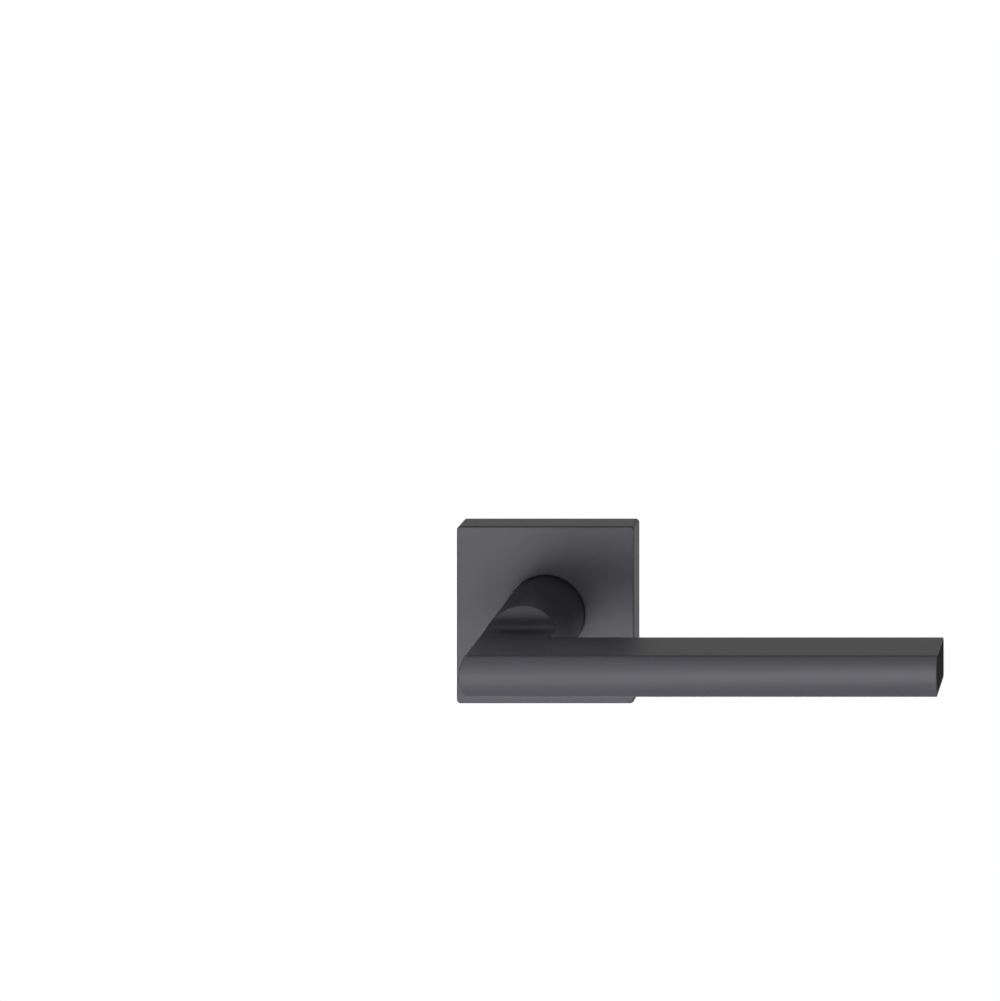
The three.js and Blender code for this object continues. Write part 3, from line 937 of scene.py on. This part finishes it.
    def build_spindle(self) -> bpy.types.Object:
        """The square spindle, with rounded corners and chamfered ends.

        Returns:
            The finished piece.
        """
        spindle = block("spindle", self.spindle.low, self.spindle.high)
        round_edges(spindle, self.spindle_chamfer, 1, lambda a, b: near(a.y, b.y))
        return ease(spindle, self.spindle_edge, segments=4)

    def build_grub_screw(self) -> bpy.types.Object:
        """The set screw under the neck: a cup point above and a hexagon socket below.

        Returns:
            The finished piece.
        """
        low, high = self.grub.low[2], self.grub.high[2]
        centre = self.grub.middle[:2]
        screw = rod("grub", Axis.UP, self.grub.size[0] / 2, low, high, centre, sides=48)
        key = self.key_width / 2 / math.cos(math.pi / 6)
        socket = rod("key", Axis.UP, key, low - OVERSHOOT, (low + high) / 2, centre, sides=6)
        cup = rod("cup", Axis.UP, self.cup_radius, high - self.cup_depth, high + OVERSHOOT, centre,
                  sides=32)
        combine(screw, Combine.CUT, socket, cup)
        return ease(tidy(screw), self.grub_edge)

    def build_driver(self) -> bpy.types.Object:
        """The cam that winds the spring: flats in its bore, and notches for the pin and the spring.

        Returns:
            The finished piece.
        """
        low, high = self.driver.low[1], self.driver.high[1]
        radius = self.driver.size[0] / 2
        cam = rod("cam", Axis.OUT, radius, low, high, sides=96)
        past = (low - OVERSHOOT, high + OVERSHOOT)
        bore = rod("bore", Axis.OUT, self.boss_radius + self.gap, *past, sides=96)
        flat = self.boss_radius - self.boss_flat + self.gap
        keep = block("keep", (-radius, low - 2 * OVERSHOOT, -flat),
                     (radius, high + 2 * OVERSHOOT, flat))
        combine(bore, Combine.KEEP_COMMON, keep)
        outside = radius + 2 * OVERSHOOT
        stop_notch = arc_blank("stop_notch", self.stop_notch_floor, outside, self.stop_notch, past)
        leg_notch = arc_blank("leg_notch", self.leg_notch_floor, outside, self.leg_notch,
                              (high - self.leg_notch_depth, high + OVERSHOOT))
        combine(cam, Combine.CUT, bore, stop_notch, leg_notch)
        return ease(tidy(cam), self.cam_edge)

    def build_circlip(self) -> bpy.types.Object:
        """The retaining ring, open below, with an eye for pliers at each end.

        Returns:
            The finished piece.
        """
        low, high = self.clip.low[1], self.clip.high[1]
        outer = self.clip.high[2]
        inner = self.boss_radius - self.circlip_bite
        past = (low - OVERSHOOT, high + OVERSHOOT)
        ring = rod("ring", Axis.OUT, outer, low, high, sides=96)
        bore = rod("bore", Axis.OUT, inner, *past, sides=96)
        mouth = arc_blank("mouth", inner - 2 * OVERSHOOT, outer + 2 * OVERSHOOT,
                          self.circlip_mouth, past)
        eyes = [
            rod("eye", Axis.OUT, self.eye_radius, *past, polar((inner + outer) / 2, angle), 20)
            for angle in self.eye_angles
        ]
        combine(ring, Combine.CUT, bore, mouth, *eyes)
        return ease(tidy(ring), self.circlip_edge)


@dataclass
class Rose(SubAssembly):
    """What is fixed to the door: the cover, the base behind it and the spring's works."""

    body: str = "rose"
    cover_wall: float = 1.2
    cover_corner: float = 1.1
    cover_edge: float = 0.5
    cover_inner_corner: float = 0.4
    eased: float = 0.12  # the last easing of the cover's and the plate's edges
    gap: float = 0.3
    screw_gap: float = 0.2
    base_corner: float = 0.8
    base_edge: float = 0.15
    web: float = 1.8
    chamber_radius: float = 14.2
    flange_recess: float = 0.8
    leg_slot: tuple[float, float] = (96.0, 123.6)  # degrees, where the outer leg's slot lies
    leg_slot_reach: float = 2.05  # how far it reaches past the chamber
    leg_slot_front: float = 2.9
    clip_pocket_half: tuple[float, float] = (3.3, 2.1)  # along x and out
    clip_pocket_depth: float = 1.2
    pilot_radius: float = 1.2
    pilot_past: float = 0.5  # how far the pilot holes run past the back
    bush_hole: float = 9.18  # radius, as the next two are
    bush_outer: float = 8.98
    bush_bore: float = 8.08
    bush_flange: float = 0.6
    bush_edge: float = 0.1
    pin_chamfer: float = 0.2
    post_radius: float = 3.5
    post_hole: float = 3.7
    post_chamfer: float = 0.6
    post_flange: float = 1.4
    post_edge: float = 0.1
    post_thread: float = 3.3
    post_thread_depth: float = 13.0
    post_flare: float = 1.4  # how much wider the tapped hole's mouth is
    wood_shank: float = 3.4
    wood_pitch: float = 1.6
    wood_sink: float = 0.5  # how far the heads' seats lie under their tops
    wood_rim: float = 0.3
    wood_thread_depth: float = 0.45
    wood_plain: tuple[float, float] = (3.5, 4.0)  # under the head, where the thread's foot starts
    wood_point: float = 5.0
    recess_arm: tuple[float, float] = (2.0, 0.45)  # half length and half width of the cross recess
    recess_depth: float = 1.4
    plate_ear: float = 3.0
    plate_lap: float = 1.1  # how far the plate laps over the chamber's rim
    plate_hole: float = 8.28
    plate_shank: float = 2.0
    plate_head_room: float = 0.5
    plate_rim: float = 0.1
    slot_depth: float = 0.4
    slot_half: float = 0.25
    spring_wire: float = 1.1
    clip_sheet: float = 0.45
    clip_edge: float = 0.1

    def __post_init__(self) -> None:
        """Reads the places of the rose's pieces from the frame."""
        self.cover = Extent.of("rose_cover")
        self.base = Extent.of("rose_base")
        self.plate = Extent.of("retainer_plate")
        self.bush = Extent.of("neck_bush")
        self.pin = Extent.of("stop_pin")
        self.neck_radius = Extent.of("lever").high[2]
        self.posts = {n: Extent.of(n) for n in ("fixing_post_left", "fixing_post_right")}
        self.wood = {n: Extent.of(n) for n in ("wood_screw_upper", "wood_screw_lower")}
        self.plate_screws = {n: Extent.of(n) for n in (f"plate_screw_{i}" for i in (1, 2, 3))}
        self.clips = {n: Extent.of(n) for n in (f"cover_clip_{i}" for i in (1, 2, 3, 4))}

    def build(self) -> None:
        """Models and dresses every piece of the rose's body."""
        self.take(self.build_cover(), GRAPHITE_COAT, "rose_cover")
        self.take(self.build_base(), ZINC_CASTING, "rose_base")
        self.take(self.build_plate(), PLATED_STEEL, "retainer_plate")
        self.take(self.build_bush(), WHITE_ACETAL, "neck_bush")
        self.take(self.build_pin(), PLATED_STEEL, "stop_pin")
        self.repeat(self.build_post(), self.posts, PLATED_STEEL)
        self.repeat(self.build_wood_screw(), self.wood, PLATED_STEEL)
        self.repeat(self.build_plate_screw(), self.plate_screws, PLATED_STEEL)
        self.build_clips()
        self.build_spring()

    def repeat(self, model: bpy.types.Object, places: dict[str, Extent], finish: Finish) -> None:
        """Copies a piece that is modelled on the spindle's axis to each of its places.

        Args:
            model: the piece on the axis, used up.
            places: the boxes of the nodes that the copies stand for.
            finish: the copies' finish.
        """
        for node, extent in places.items():
            x, _, z = extent.middle
            self.take(copy_to(model, node, (x, 0, z)), finish, node)
        bpy.data.objects.remove(model)

    def build_cover(self) -> bpy.types.Object:
        """The square cover: a thin shell with rounded corners, an eased front and the neck's hole.

        Returns:
            The finished piece.
        """
        half = self.cover.high[0]
        front = self.cover.high[1]
        cover = block("cover", self.cover.low, self.cover.high)
        round_edges(cover, self.cover_corner, 6, lambda a, b: near(a.x, b.x) and near(a.z, b.z))
        round_edges(cover, self.cover_edge, 5, lambda a, b: near(a.y, front) and near(b.y, front))
        inner = half - self.cover_wall
        inside = block("inside", (-inner, -OVERSHOOT, -inner), (inner, front - self.cover_wall, inner))
        round_edges(inside, self.cover_inner_corner, 3, lambda a, b: near(a.x, b.x) and near(a.z, b.z))
        hole = rod("hole", Axis.OUT, self.neck_radius + self.gap, 0, front + OVERSHOOT, sides=128)
        combine(cover, Combine.CUT, inside, hole)
        return ease(tidy(cover), self.eased, sharpest=40)

    def plate_outline(self, name: str, grow: float, low: float, high: float) -> bpy.types.Object:
        """A disc with three ears, as the plate or as the recess that it lies in.

        Args:
            name: the object's name.
            grow: how much larger than the plate it is.
            low: its lowest out.
            high: its highest out.

        Returns:
            The solid.
        """
        disc = rod(name, Axis.OUT, self.chamber_radius + self.plate_lap + grow, low, high, sides=128)
        ears = [
            rod("ear", Axis.OUT, self.plate_ear + grow, low, high, (e.middle[0], e.middle[2]), 40)
            for e in self.plate_screws.values()
        ]
        return combine(disc, Combine.JOIN, *ears)

    def build_base(self) -> bpy.types.Object:
        """The die-cast base: spring chamber, recesses and holes for all that is fixed to it.

        Returns:
            The finished piece.
        """
        front = self.base.high[1]
        back, past = -OVERSHOOT, front + OVERSHOOT
        web_back = front - self.web
        base = block("base", self.base.low, self.base.high)
        round_edges(base, self.base_corner, 4, lambda a, b: near(a.x, b.x) and near(a.z, b.z))
        cuts = [
            rod("chamber", Axis.OUT, self.chamber_radius, back, web_back, sides=128),
            self.plate_outline("recess", self.gap, back, self.plate.high[1] + self.gap),
            rod("bush", Axis.OUT, self.bush_hole, back, past, sides=96),
            rod("flange", Axis.OUT, self.bush.high[0] + self.gap, front - self.flange_recess,
                past, sides=96),
            arc_blank("leg", self.chamber_radius - OVERSHOOT,
                      self.chamber_radius + self.leg_slot_reach, self.leg_slot,
                      (self.plate.high[1], self.leg_slot_front)),
        ]
        for post in self.posts.values():
            x, _, z = post.middle
            hole = rod("hole", Axis.OUT, self.post_hole, back, past, (x, z), 48)
            seat = rod("seat", Axis.OUT, post.size[0] / 2 + self.gap,
                       front - self.post_flange - 2 * self.gap, past, (x, z), 48)
            cuts += [hole, seat]
        for screw in self.wood.values():
            x, _, z = screw.middle
            head = screw.size[0] / 2 + self.gap
            shank = self.wood_shank / 2 + self.gap
            seat = screw.high[1] - self.wood_sink
            cuts.append(turned("screw", [(shank, back), (shank, seat - (head - shank)),
                                         (head, seat), (head, past)], (x, z), 40))
        for screw in self.plate_screws.values():
            x, _, z = screw.middle
            cuts.append(rod("pilot", Axis.OUT, self.pilot_radius, -self.pilot_past,
                            screw.high[1] + self.gap, (x, z), 24))
        for clip in self.clips.values():
            x, out, z = clip.middle
            side = 1 if z > 0 else -1
            wide, deep = self.clip_pocket_half
            floor = side * (self.base.high[2] - self.clip_pocket_depth)
            low_z, high_z = sorted((floor, side * (self.base.high[2] + OVERSHOOT)))
            cuts.append(block("pocket", (x - wide, out - deep, low_z), (x + wide, out + deep, high_z)))
        combine(base, Combine.CUT, *cuts)
        return ease(tidy(base), self.base_edge, segments=2, sharpest=40)

    def build_plate(self) -> bpy.types.Object:
        """The retainer plate: a pressed disc with three ears and countersunk holes.

        Returns:
            The finished piece.
        """
        high = self.plate.high[1]
        plate = self.plate_outline("plate", 0, self.plate.low[1], high)
        back, past = -OVERSHOOT, high + OVERSHOOT
        hole = rod("hole", Axis.OUT, self.plate_hole, back, past, sides=96)
        holes = []
        for screw in self.plate_screws.values():
            x, _, z = screw.middle
            head = screw.size[0] / 2 + self.plate_head_room
            shank = self.plate_shank / 2 + self.screw_gap
            holes.append(turned("hole", [
                (head, back), (head, -self.screw_gap), (shank, head - shank - self.screw_gap),
                (shank, past),
            ], (x, z), 40))
        combine(plate, Combine.CUT, hole, *holes)
        return ease(tidy(plate), self.eased, sharpest=40)

    def build_bush(self) -> bpy.types.Object:
        """The flanged bush in which the neck's boss turns.

        Returns:
            The finished piece.
        """
        low, high = self.bush.low[1], self.bush.high[1]
        flange = self.bush.high[0]
        step = high - self.bush_flange
        bush = turned("bush", [
            (self.bush_outer, low), (self.bush_outer, step), (flange, step), (flange, high),
        ], sides=96)
        bore = rod("bore", Axis.OUT, self.bush_bore, low - OVERSHOOT, high + OVERSHOOT, sides=96)
        return ease(tidy(combine(bush, Combine.CUT, bore)), self.bush_edge)

    def build_pin(self) -> bpy.types.Object:
        """The stop pin, with a chamfer at each end.

        Returns:
            The finished piece.
        """
        low, high = self.pin.low[1], self.pin.high[1]
        radius = self.pin.size[0] / 2
        x, _, z = self.pin.middle
        cut = self.pin_chamfer
        pin = turned("pin", [(radius - cut, low), (radius, low + cut), (radius, high - cut),
                             (radius - cut, high)], (x, z), 32)
        return ease(pin, 0.05, segments=2)

    def build_post(self) -> bpy.types.Object:
        """A fixing post on the spindle's axis: a flange, a chamfered tip and a tapped hole.

        Returns:
            The piece that is copied.
        """
        post = next(iter(self.posts.values()))
        tip, front = post.low[1], post.high[1]
        flange, radius, bore = post.size[0] / 2, self.post_radius, self.post_thread / 2
        step, floor = front - self.post_flange, tip + self.post_thread_depth
        made = turned("post", [
            (radius - self.post_chamfer, tip), (radius, tip + self.post_chamfer),
            (radius, step), (flange, step), (flange, front),
        ], sides=56)
        hole = turned("bore", [
            (bore + self.post_flare, tip - OVERSHOOT), (bore, tip + 0.4), (bore, floor),
            (0, floor + OVERSHOOT),
        ], sides=40)
        groove = self.thread("tapping", root=bore - 0.2, crest=bore + 0.35, pitch=0.7,
                             start=tip - 0.4, turns=14, share=0.62)
        combine(made, Combine.CUT, hole, groove)
        return ease(made, self.post_edge, segments=2, sharpest=50)

    def thread(self, name: str, root: float, crest: float, pitch: float, start: float,
               turns: int, share: float) -> bpy.types.Object:
        """A closed helical ridge on the spindle's axis: a triangle swept by a Screw modifier.

        Args:
            name: the object's name.
            root: radius of the ridge's foot.
            crest: radius of its crest.
            pitch: distance from one turn to the next.
            start: where it starts out of the door.
            turns: how many turns it has.
            share: how much of the pitch its foot takes.

        Returns:
            The ridge.
        """
        deselect()
        bpy.ops.mesh.primitive_circle_add(
            vertices=3, radius=1 * MM, fill_type="NOTHING", rotation=(0, 0, 0))
        ridge = bpy.context.object
        ridge.name = name
        half = share * pitch / 2
        corners = ((crest, start), (root, start - half), (root, start + half))
        for point, (radius, out) in zip(ridge.data.vertices, corners):
            point.co = place(radius, out, 0)
        only(ridge)
        sweep = ridge.modifiers.new("sweep", "SCREW")
        sweep.axis = "Y"
        sweep.angle = 2 * math.pi
        sweep.screw_offset = -pitch * MM
        sweep.iterations = turns
        sweep.steps = sweep.render_steps = 28
        bpy.ops.object.modifier_apply(modifier=sweep.name)
        with editing(ridge):
            bpy.ops.mesh.remove_doubles(threshold=THREAD_MERGE * MM)
            bpy.ops.mesh.select_all(action="DESELECT")
            bpy.ops.mesh.select_mode(type="EDGE")
            bpy.ops.mesh.select_non_manifold()
            bpy.ops.mesh.edge_face_add()
            bpy.ops.mesh.select_all(action="SELECT")
            bpy.ops.mesh.normals_make_consistent(inside=False)
        return ridge

    def build_wood_screw(self) -> bpy.types.Object:
        """A countersunk wood screw on the spindle's axis, threaded, with a cross recess.

        Returns:
            The piece that is copied.
        """
        screw = next(iter(self.wood.values()))
        tip, head_out = screw.low[1], screw.high[1]
        head, shank = screw.size[0] / 2, self.wood_shank / 2
        root = shank - self.wood_thread_depth
        rim = head_out - self.wood_rim
        neck = rim - (head - shank)
        plain_end, thread_foot = self.wood_plain
        made = turned("screw", [
            (head, head_out), (head, rim), (shank, neck), (shank, neck - plain_end),
            (root, neck - thread_foot), (root, tip + self.wood_point), (0, tip),
        ], sides=40)
        ridge = self.thread("ridge", root=0.25, crest=shank, pitch=self.wood_pitch,
                            start=tip + 1.1, turns=9, share=0.94)
        envelope = turned("envelope", [
            (shank + 0.3, neck - 0.9), (shank + 0.3, tip + 5.9), (0, tip + 0.13),
        ], sides=37)
        combine(ridge, Combine.KEEP_COMMON, envelope)
        floor = head_out - self.recess_depth
        recess = [
            block("arm", (-wide, floor, -tall), (wide, head_out + OVERSHOOT, tall))
            for wide, tall in (self.recess_arm[::-1], self.recess_arm)
        ]
        combine(made, Combine.JOIN, ridge)
        combine(made, Combine.CUT, *recess)
        weld(made)
        bpy.ops.object.shade_smooth_by_angle(angle=math.radians(35))
        return made

    def build_plate_screw(self) -> bpy.types.Object:
        """A slotted countersunk screw on the spindle's axis.

        Returns:
            The piece that is copied.
        """
        screw = next(iter(self.plate_screws.values()))
        low, high = screw.low[1], screw.high[1]
        head, shank = screw.size[0] / 2, self.plate_shank / 2
        made = turned("plate_screw", [
            (head, low), (head, low + self.plate_rim), (shank, low + head - shank), (shank, high),
        ], sides=40)
        slot = block("slot", (-head - OVERSHOOT, low - OVERSHOOT, -self.slot_half),
                     (head + OVERSHOOT, low + self.slot_depth, self.slot_half))
        combine(made, Combine.CUT, slot)
        return ease(made, 0.06, segments=2)

    def build_clips(self) -> None:
        """The four bowed clips: a strip's end spun into a shallow bow, then copied and turned."""
        upper = next(iter(self.clips.values()))
        width, chord = upper.size[0], upper.size[1]
        rise = upper.size[2] - self.clip_sheet
        radius = ((chord / 2) ** 2 + rise ** 2) / (2 * rise)
        sweep = 2 * math.asin(chord / 2 / radius)
        hub = upper.high[2] - self.clip_sheet - radius
        deselect()
        bpy.ops.mesh.primitive_plane_add(
            size=1, location=place(0, 0, radius + self.clip_sheet / 2), rotation=(math.pi / 2, 0, 0))
        strip = bpy.context.object
        strip.scale = (width * MM, self.clip_sheet * MM, 1)
        settle(strip)
        with editing(strip):
            bpy.ops.mesh.spin(steps=12, angle=sweep, center=(0, 0, 0), axis=(1, 0, 0))
            bpy.ops.mesh.select_all(action="SELECT")
            bpy.ops.mesh.remove_doubles(threshold=TOUCH * MM)
            bpy.ops.mesh.normals_make_consistent(inside=False)
        low = min(v.co.y for v in strip.data.vertices)
        high = max(v.co.y for v in strip.data.vertices)
        strip.matrix_world = Matrix.Rotation(math.copysign(sweep / 2, abs(high) - abs(low)), 4, "X")
        bpy.context.view_layer.update()
        settle(strip)
        ease(strip, self.clip_edge, segments=2)
        for node, clip in self.clips.items():
            at_x, at_out, z = clip.middle
            turn = 0.0 if z > 0 else 180.0
            piece = copy_to(strip, node, (at_x, at_out, math.copysign(hub, z)), turn)
            self.take(piece, SPRING_STEEL, node)
        bpy.data.objects.remove(strip)

    def build_spring(self) -> None:
        """The return spring: a coil with a leg out into the base and a leg in to the cam."""
        radius, reach_out, reach_in = 12.9, 15.4, 10.4
        low, high = 2.05, 3.85
        turns, start, leg, steps = 1.5, 120.0, 20.0, 150
        path = bpy.data.curves.new("spring_path", "CURVE")
        path.dimensions = "3D"
        path.bevel_depth = self.spring_wire / 2 * MM
        path.bevel_resolution = 5
        path.use_fill_caps = True
        line = path.splines.new("POLY")
        line.points.add(steps)
        coil = 360 * turns
        for i, point in enumerate(line.points):
            travelled = (coil + leg) * i / steps
            outwards = max(0.0, 1 - travelled / leg) ** 2 * (reach_out - radius)
            inwards = max(0.0, (travelled - coil) / leg) ** 2 * (radius - reach_in)
            climb = min(max((travelled - leg) / (coil - leg), 0.0), 1.0)
            x, z = polar(radius + outwards - inwards, start - travelled)
            point.co = (*place(x, low + (high - low) * climb, z), 1)
        wire = bpy.data.objects.new("spring", path)
        bpy.context.scene.collection.objects.link(wire)
        only(wire)
        bpy.ops.object.convert(target="MESH")
        wire = weld(bpy.context.object)
        bpy.ops.object.shade_smooth_by_angle(angle=math.radians(50))
        self.take(wire, SPRING_STEEL, "return_spring", rides=False)
        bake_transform(wire)


# ---------------------------------------------------------------- studio


@dataclass(frozen=True)
class SoftLight:
    """A square soft box that looks at the handle."""

    name: str
    azimuth: float  # degrees from straight in front, towards the lever's end
    elevation: float  # degrees above level
    power: float  # W
    distance: float = 1.1  # m
    side: float = 0.6  # m


@dataclass
class Studio:
    """The camera, the lights, the floor and what lies around them."""

    floor_z: float = -1.05
    floor_side: float = 3.0
    aim_at: Place = (40.0, 30.0, 0.0)
    lens: float = 117.51  # mm, film plane to lens
    look: tuple[float, float, float] = (-0.2486, 1.0, -0.2889)
    stand: tuple[float, float, float] = (0.225, -0.9664, 0.3105)
    front_glow: float = 0.0  # brightness of the surroundings in front of the door
    back_glow: float = 0.58  # and of the white backdrop behind it
    glow_edge: tuple[float, float] = (0.55, 0.95)  # how far round the one turns into the other
    film: float = 36.0  # mm across
    sees: tuple[float, float] = (0.01, 30.0)  # m, the nearest and farthest that it sees
    lights: tuple[SoftLight, ...] = (
        SoftLight("front_box", 0.0, 0.0, 1.3),
        SoftLight("low_left_box", -18.0, -20.0, 2.65),
        SoftLight("lowest_left_box", -35.0, -45.0, 0.6),
        SoftLight("high_left_box", -20.0, 20.0, 0.9),
        SoftLight("right_box", 15.0, -10.0, 3.9),
        SoftLight("right_side_box", 95.0, -22.0, 1.2),
        SoftLight("back_box", 200.0, -30.0, 5.0),
        SoftLight("top_box", 194.0, 72.0, 0.75, side=0.5),
    )

    def build(self) -> None:
        """Sets the whole studio up."""
        self.set_camera()
        self.lay_floor()
        self.set_world()
        for light in self.lights:
            self.hang(light)
        bpy.context.scene.view_settings.view_transform = "Standard"

    def set_camera(self) -> None:
        """A view camera: its film stays parallel to the door while it looks down and to the left."""
        data = bpy.data.cameras.new("camera")
        camera = bpy.data.objects.new("camera", data)
        rig = bpy.data.objects.new("camera_rig", None)
        for obj in (camera, rig):
            bpy.context.scene.collection.objects.link(obj)
        way = Vector(self.look)
        data.sensor_width = self.film
        data.lens = self.lens * way.length
        data.clip_start, data.clip_end = self.sees
        back = -way.normalized()
        swing = Matrix.Translation(Vector(self.stand))
        swing.col[0][:3] = (1, 0, 0)
        swing.col[1][:3] = (0, 0, 1)
        swing.col[2][:3] = back
        camera.parent = rig
        camera.matrix_parent_inverse = swing
        bpy.context.scene.camera = camera
        rig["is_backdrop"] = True

    def lay_floor(self) -> None:
        """A plain pale floor below the handle."""
        deselect()
        bpy.ops.mesh.primitive_plane_add(size=self.floor_side, location=(0, 0, self.floor_z))
        floor = bpy.context.object
        floor.name = "floor"
        paint = bpy.data.materials.new("pale_floor_paint")
        paint.use_nodes = True
        tree = paint.node_tree
        tree.nodes.clear()
        seen = add(tree, "ShaderNodeLightPath").outputs["Is Camera Ray"]
        matt = add(tree, "ShaderNodeBsdfDiffuse", values={"Color": linear("#f4f4f4")})
        bright = add(tree, "ShaderNodeEmission", values={"Color": (1, 1, 1, 1), "Strength": 1.0})
        both = add(tree, "ShaderNodeMixShader", links={
            0: seen, 1: matt.outputs["BSDF"], 2: bright.outputs["Emission"]})
        add(tree, "ShaderNodeOutputMaterial", links={"Surface": both.outputs["Shader"]})
        floor.data.materials.append(paint)
        floor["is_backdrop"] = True

    def set_world(self) -> None:
        """White surroundings for the eye. They light the handle from behind, and in front only as
        brightly as front_glow.
        """
        world = bpy.data.worlds.new("studio")
        world.use_nodes = True
        tree = world.node_tree
        tree.nodes.clear()
        way = add(tree, "ShaderNodeTexCoord").outputs["Generated"]
        behind = add(tree, "ShaderNodeSeparateXYZ", links={"Vector": way}).outputs["Y"]
        glow = add(
            tree, "ShaderNodeMapRange", {"interpolation_type": "SMOOTHSTEP"},
            {"From Min": self.glow_edge[0], "From Max": self.glow_edge[1],
             "To Min": self.front_glow, "To Max": self.back_glow},
            {"Value": behind},
        ).outputs["Result"]
        seen = add(tree, "ShaderNodeLightPath").outputs["Is Camera Ray"]
        fill = add(tree, "ShaderNodeBackground", values={"Color": (1, 1, 1, 1)},
                   links={"Strength": glow})
        white = add(tree, "ShaderNodeBackground", values={"Color": (1, 1, 1, 1), "Strength": 1.0})
        both = add(tree, "ShaderNodeMixShader", links={
            0: seen, 1: fill.outputs["Background"], 2: white.outputs["Background"]})
        add(tree, "ShaderNodeOutputWorld", links={"Surface": both.outputs["Shader"]})
        bpy.context.scene.world = world

    def hang(self, light: SoftLight) -> None:
        """Hangs one soft box, aimed at the handle.

        Args:
            light: the soft box.
        """
        data = bpy.data.lights.new(light.name, "AREA")
        data.size = light.side
        data.energy = light.power
        lamp = bpy.data.objects.new(light.name, data)
        bpy.context.scene.collection.objects.link(lamp)
        lamp.visible_camera = False
        turn, rise = math.radians(light.azimuth), math.radians(light.elevation)
        away = Vector((math.sin(turn) * math.cos(rise), -math.cos(turn) * math.cos(rise),
                       math.sin(rise)))
        target = place(*self.aim_at)
        lamp.location = target + away * light.distance
        lamp.rotation_mode = "QUATERNION"
        lamp.rotation_quaternion = (-away).to_track_quat("-Z", "Y")


def corners() -> Iterator[list[float]]:
    """The shown object's lowest and highest corner, as plain lists."""
    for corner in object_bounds():
        yield [float(value) for value in corner]


def main() -> None:
    """Builds the handle and its studio around the frame, and works out both boxes."""
    logging.basicConfig(level=logging.INFO, format="%(name)s %(message)s")
    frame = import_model()
    cad_box = list(corners())
    Studio().build()
    for part in (Rose(), LeverArm()):
        part.build()
        log.info("%s: %d pieces", part.body, len(part.made))
    log.info("frame has %d nodes", len(frame["nodes"]))
    {"cad": cad_box, "visual": list(corners())}


if __name__ == "__main__":
    main()
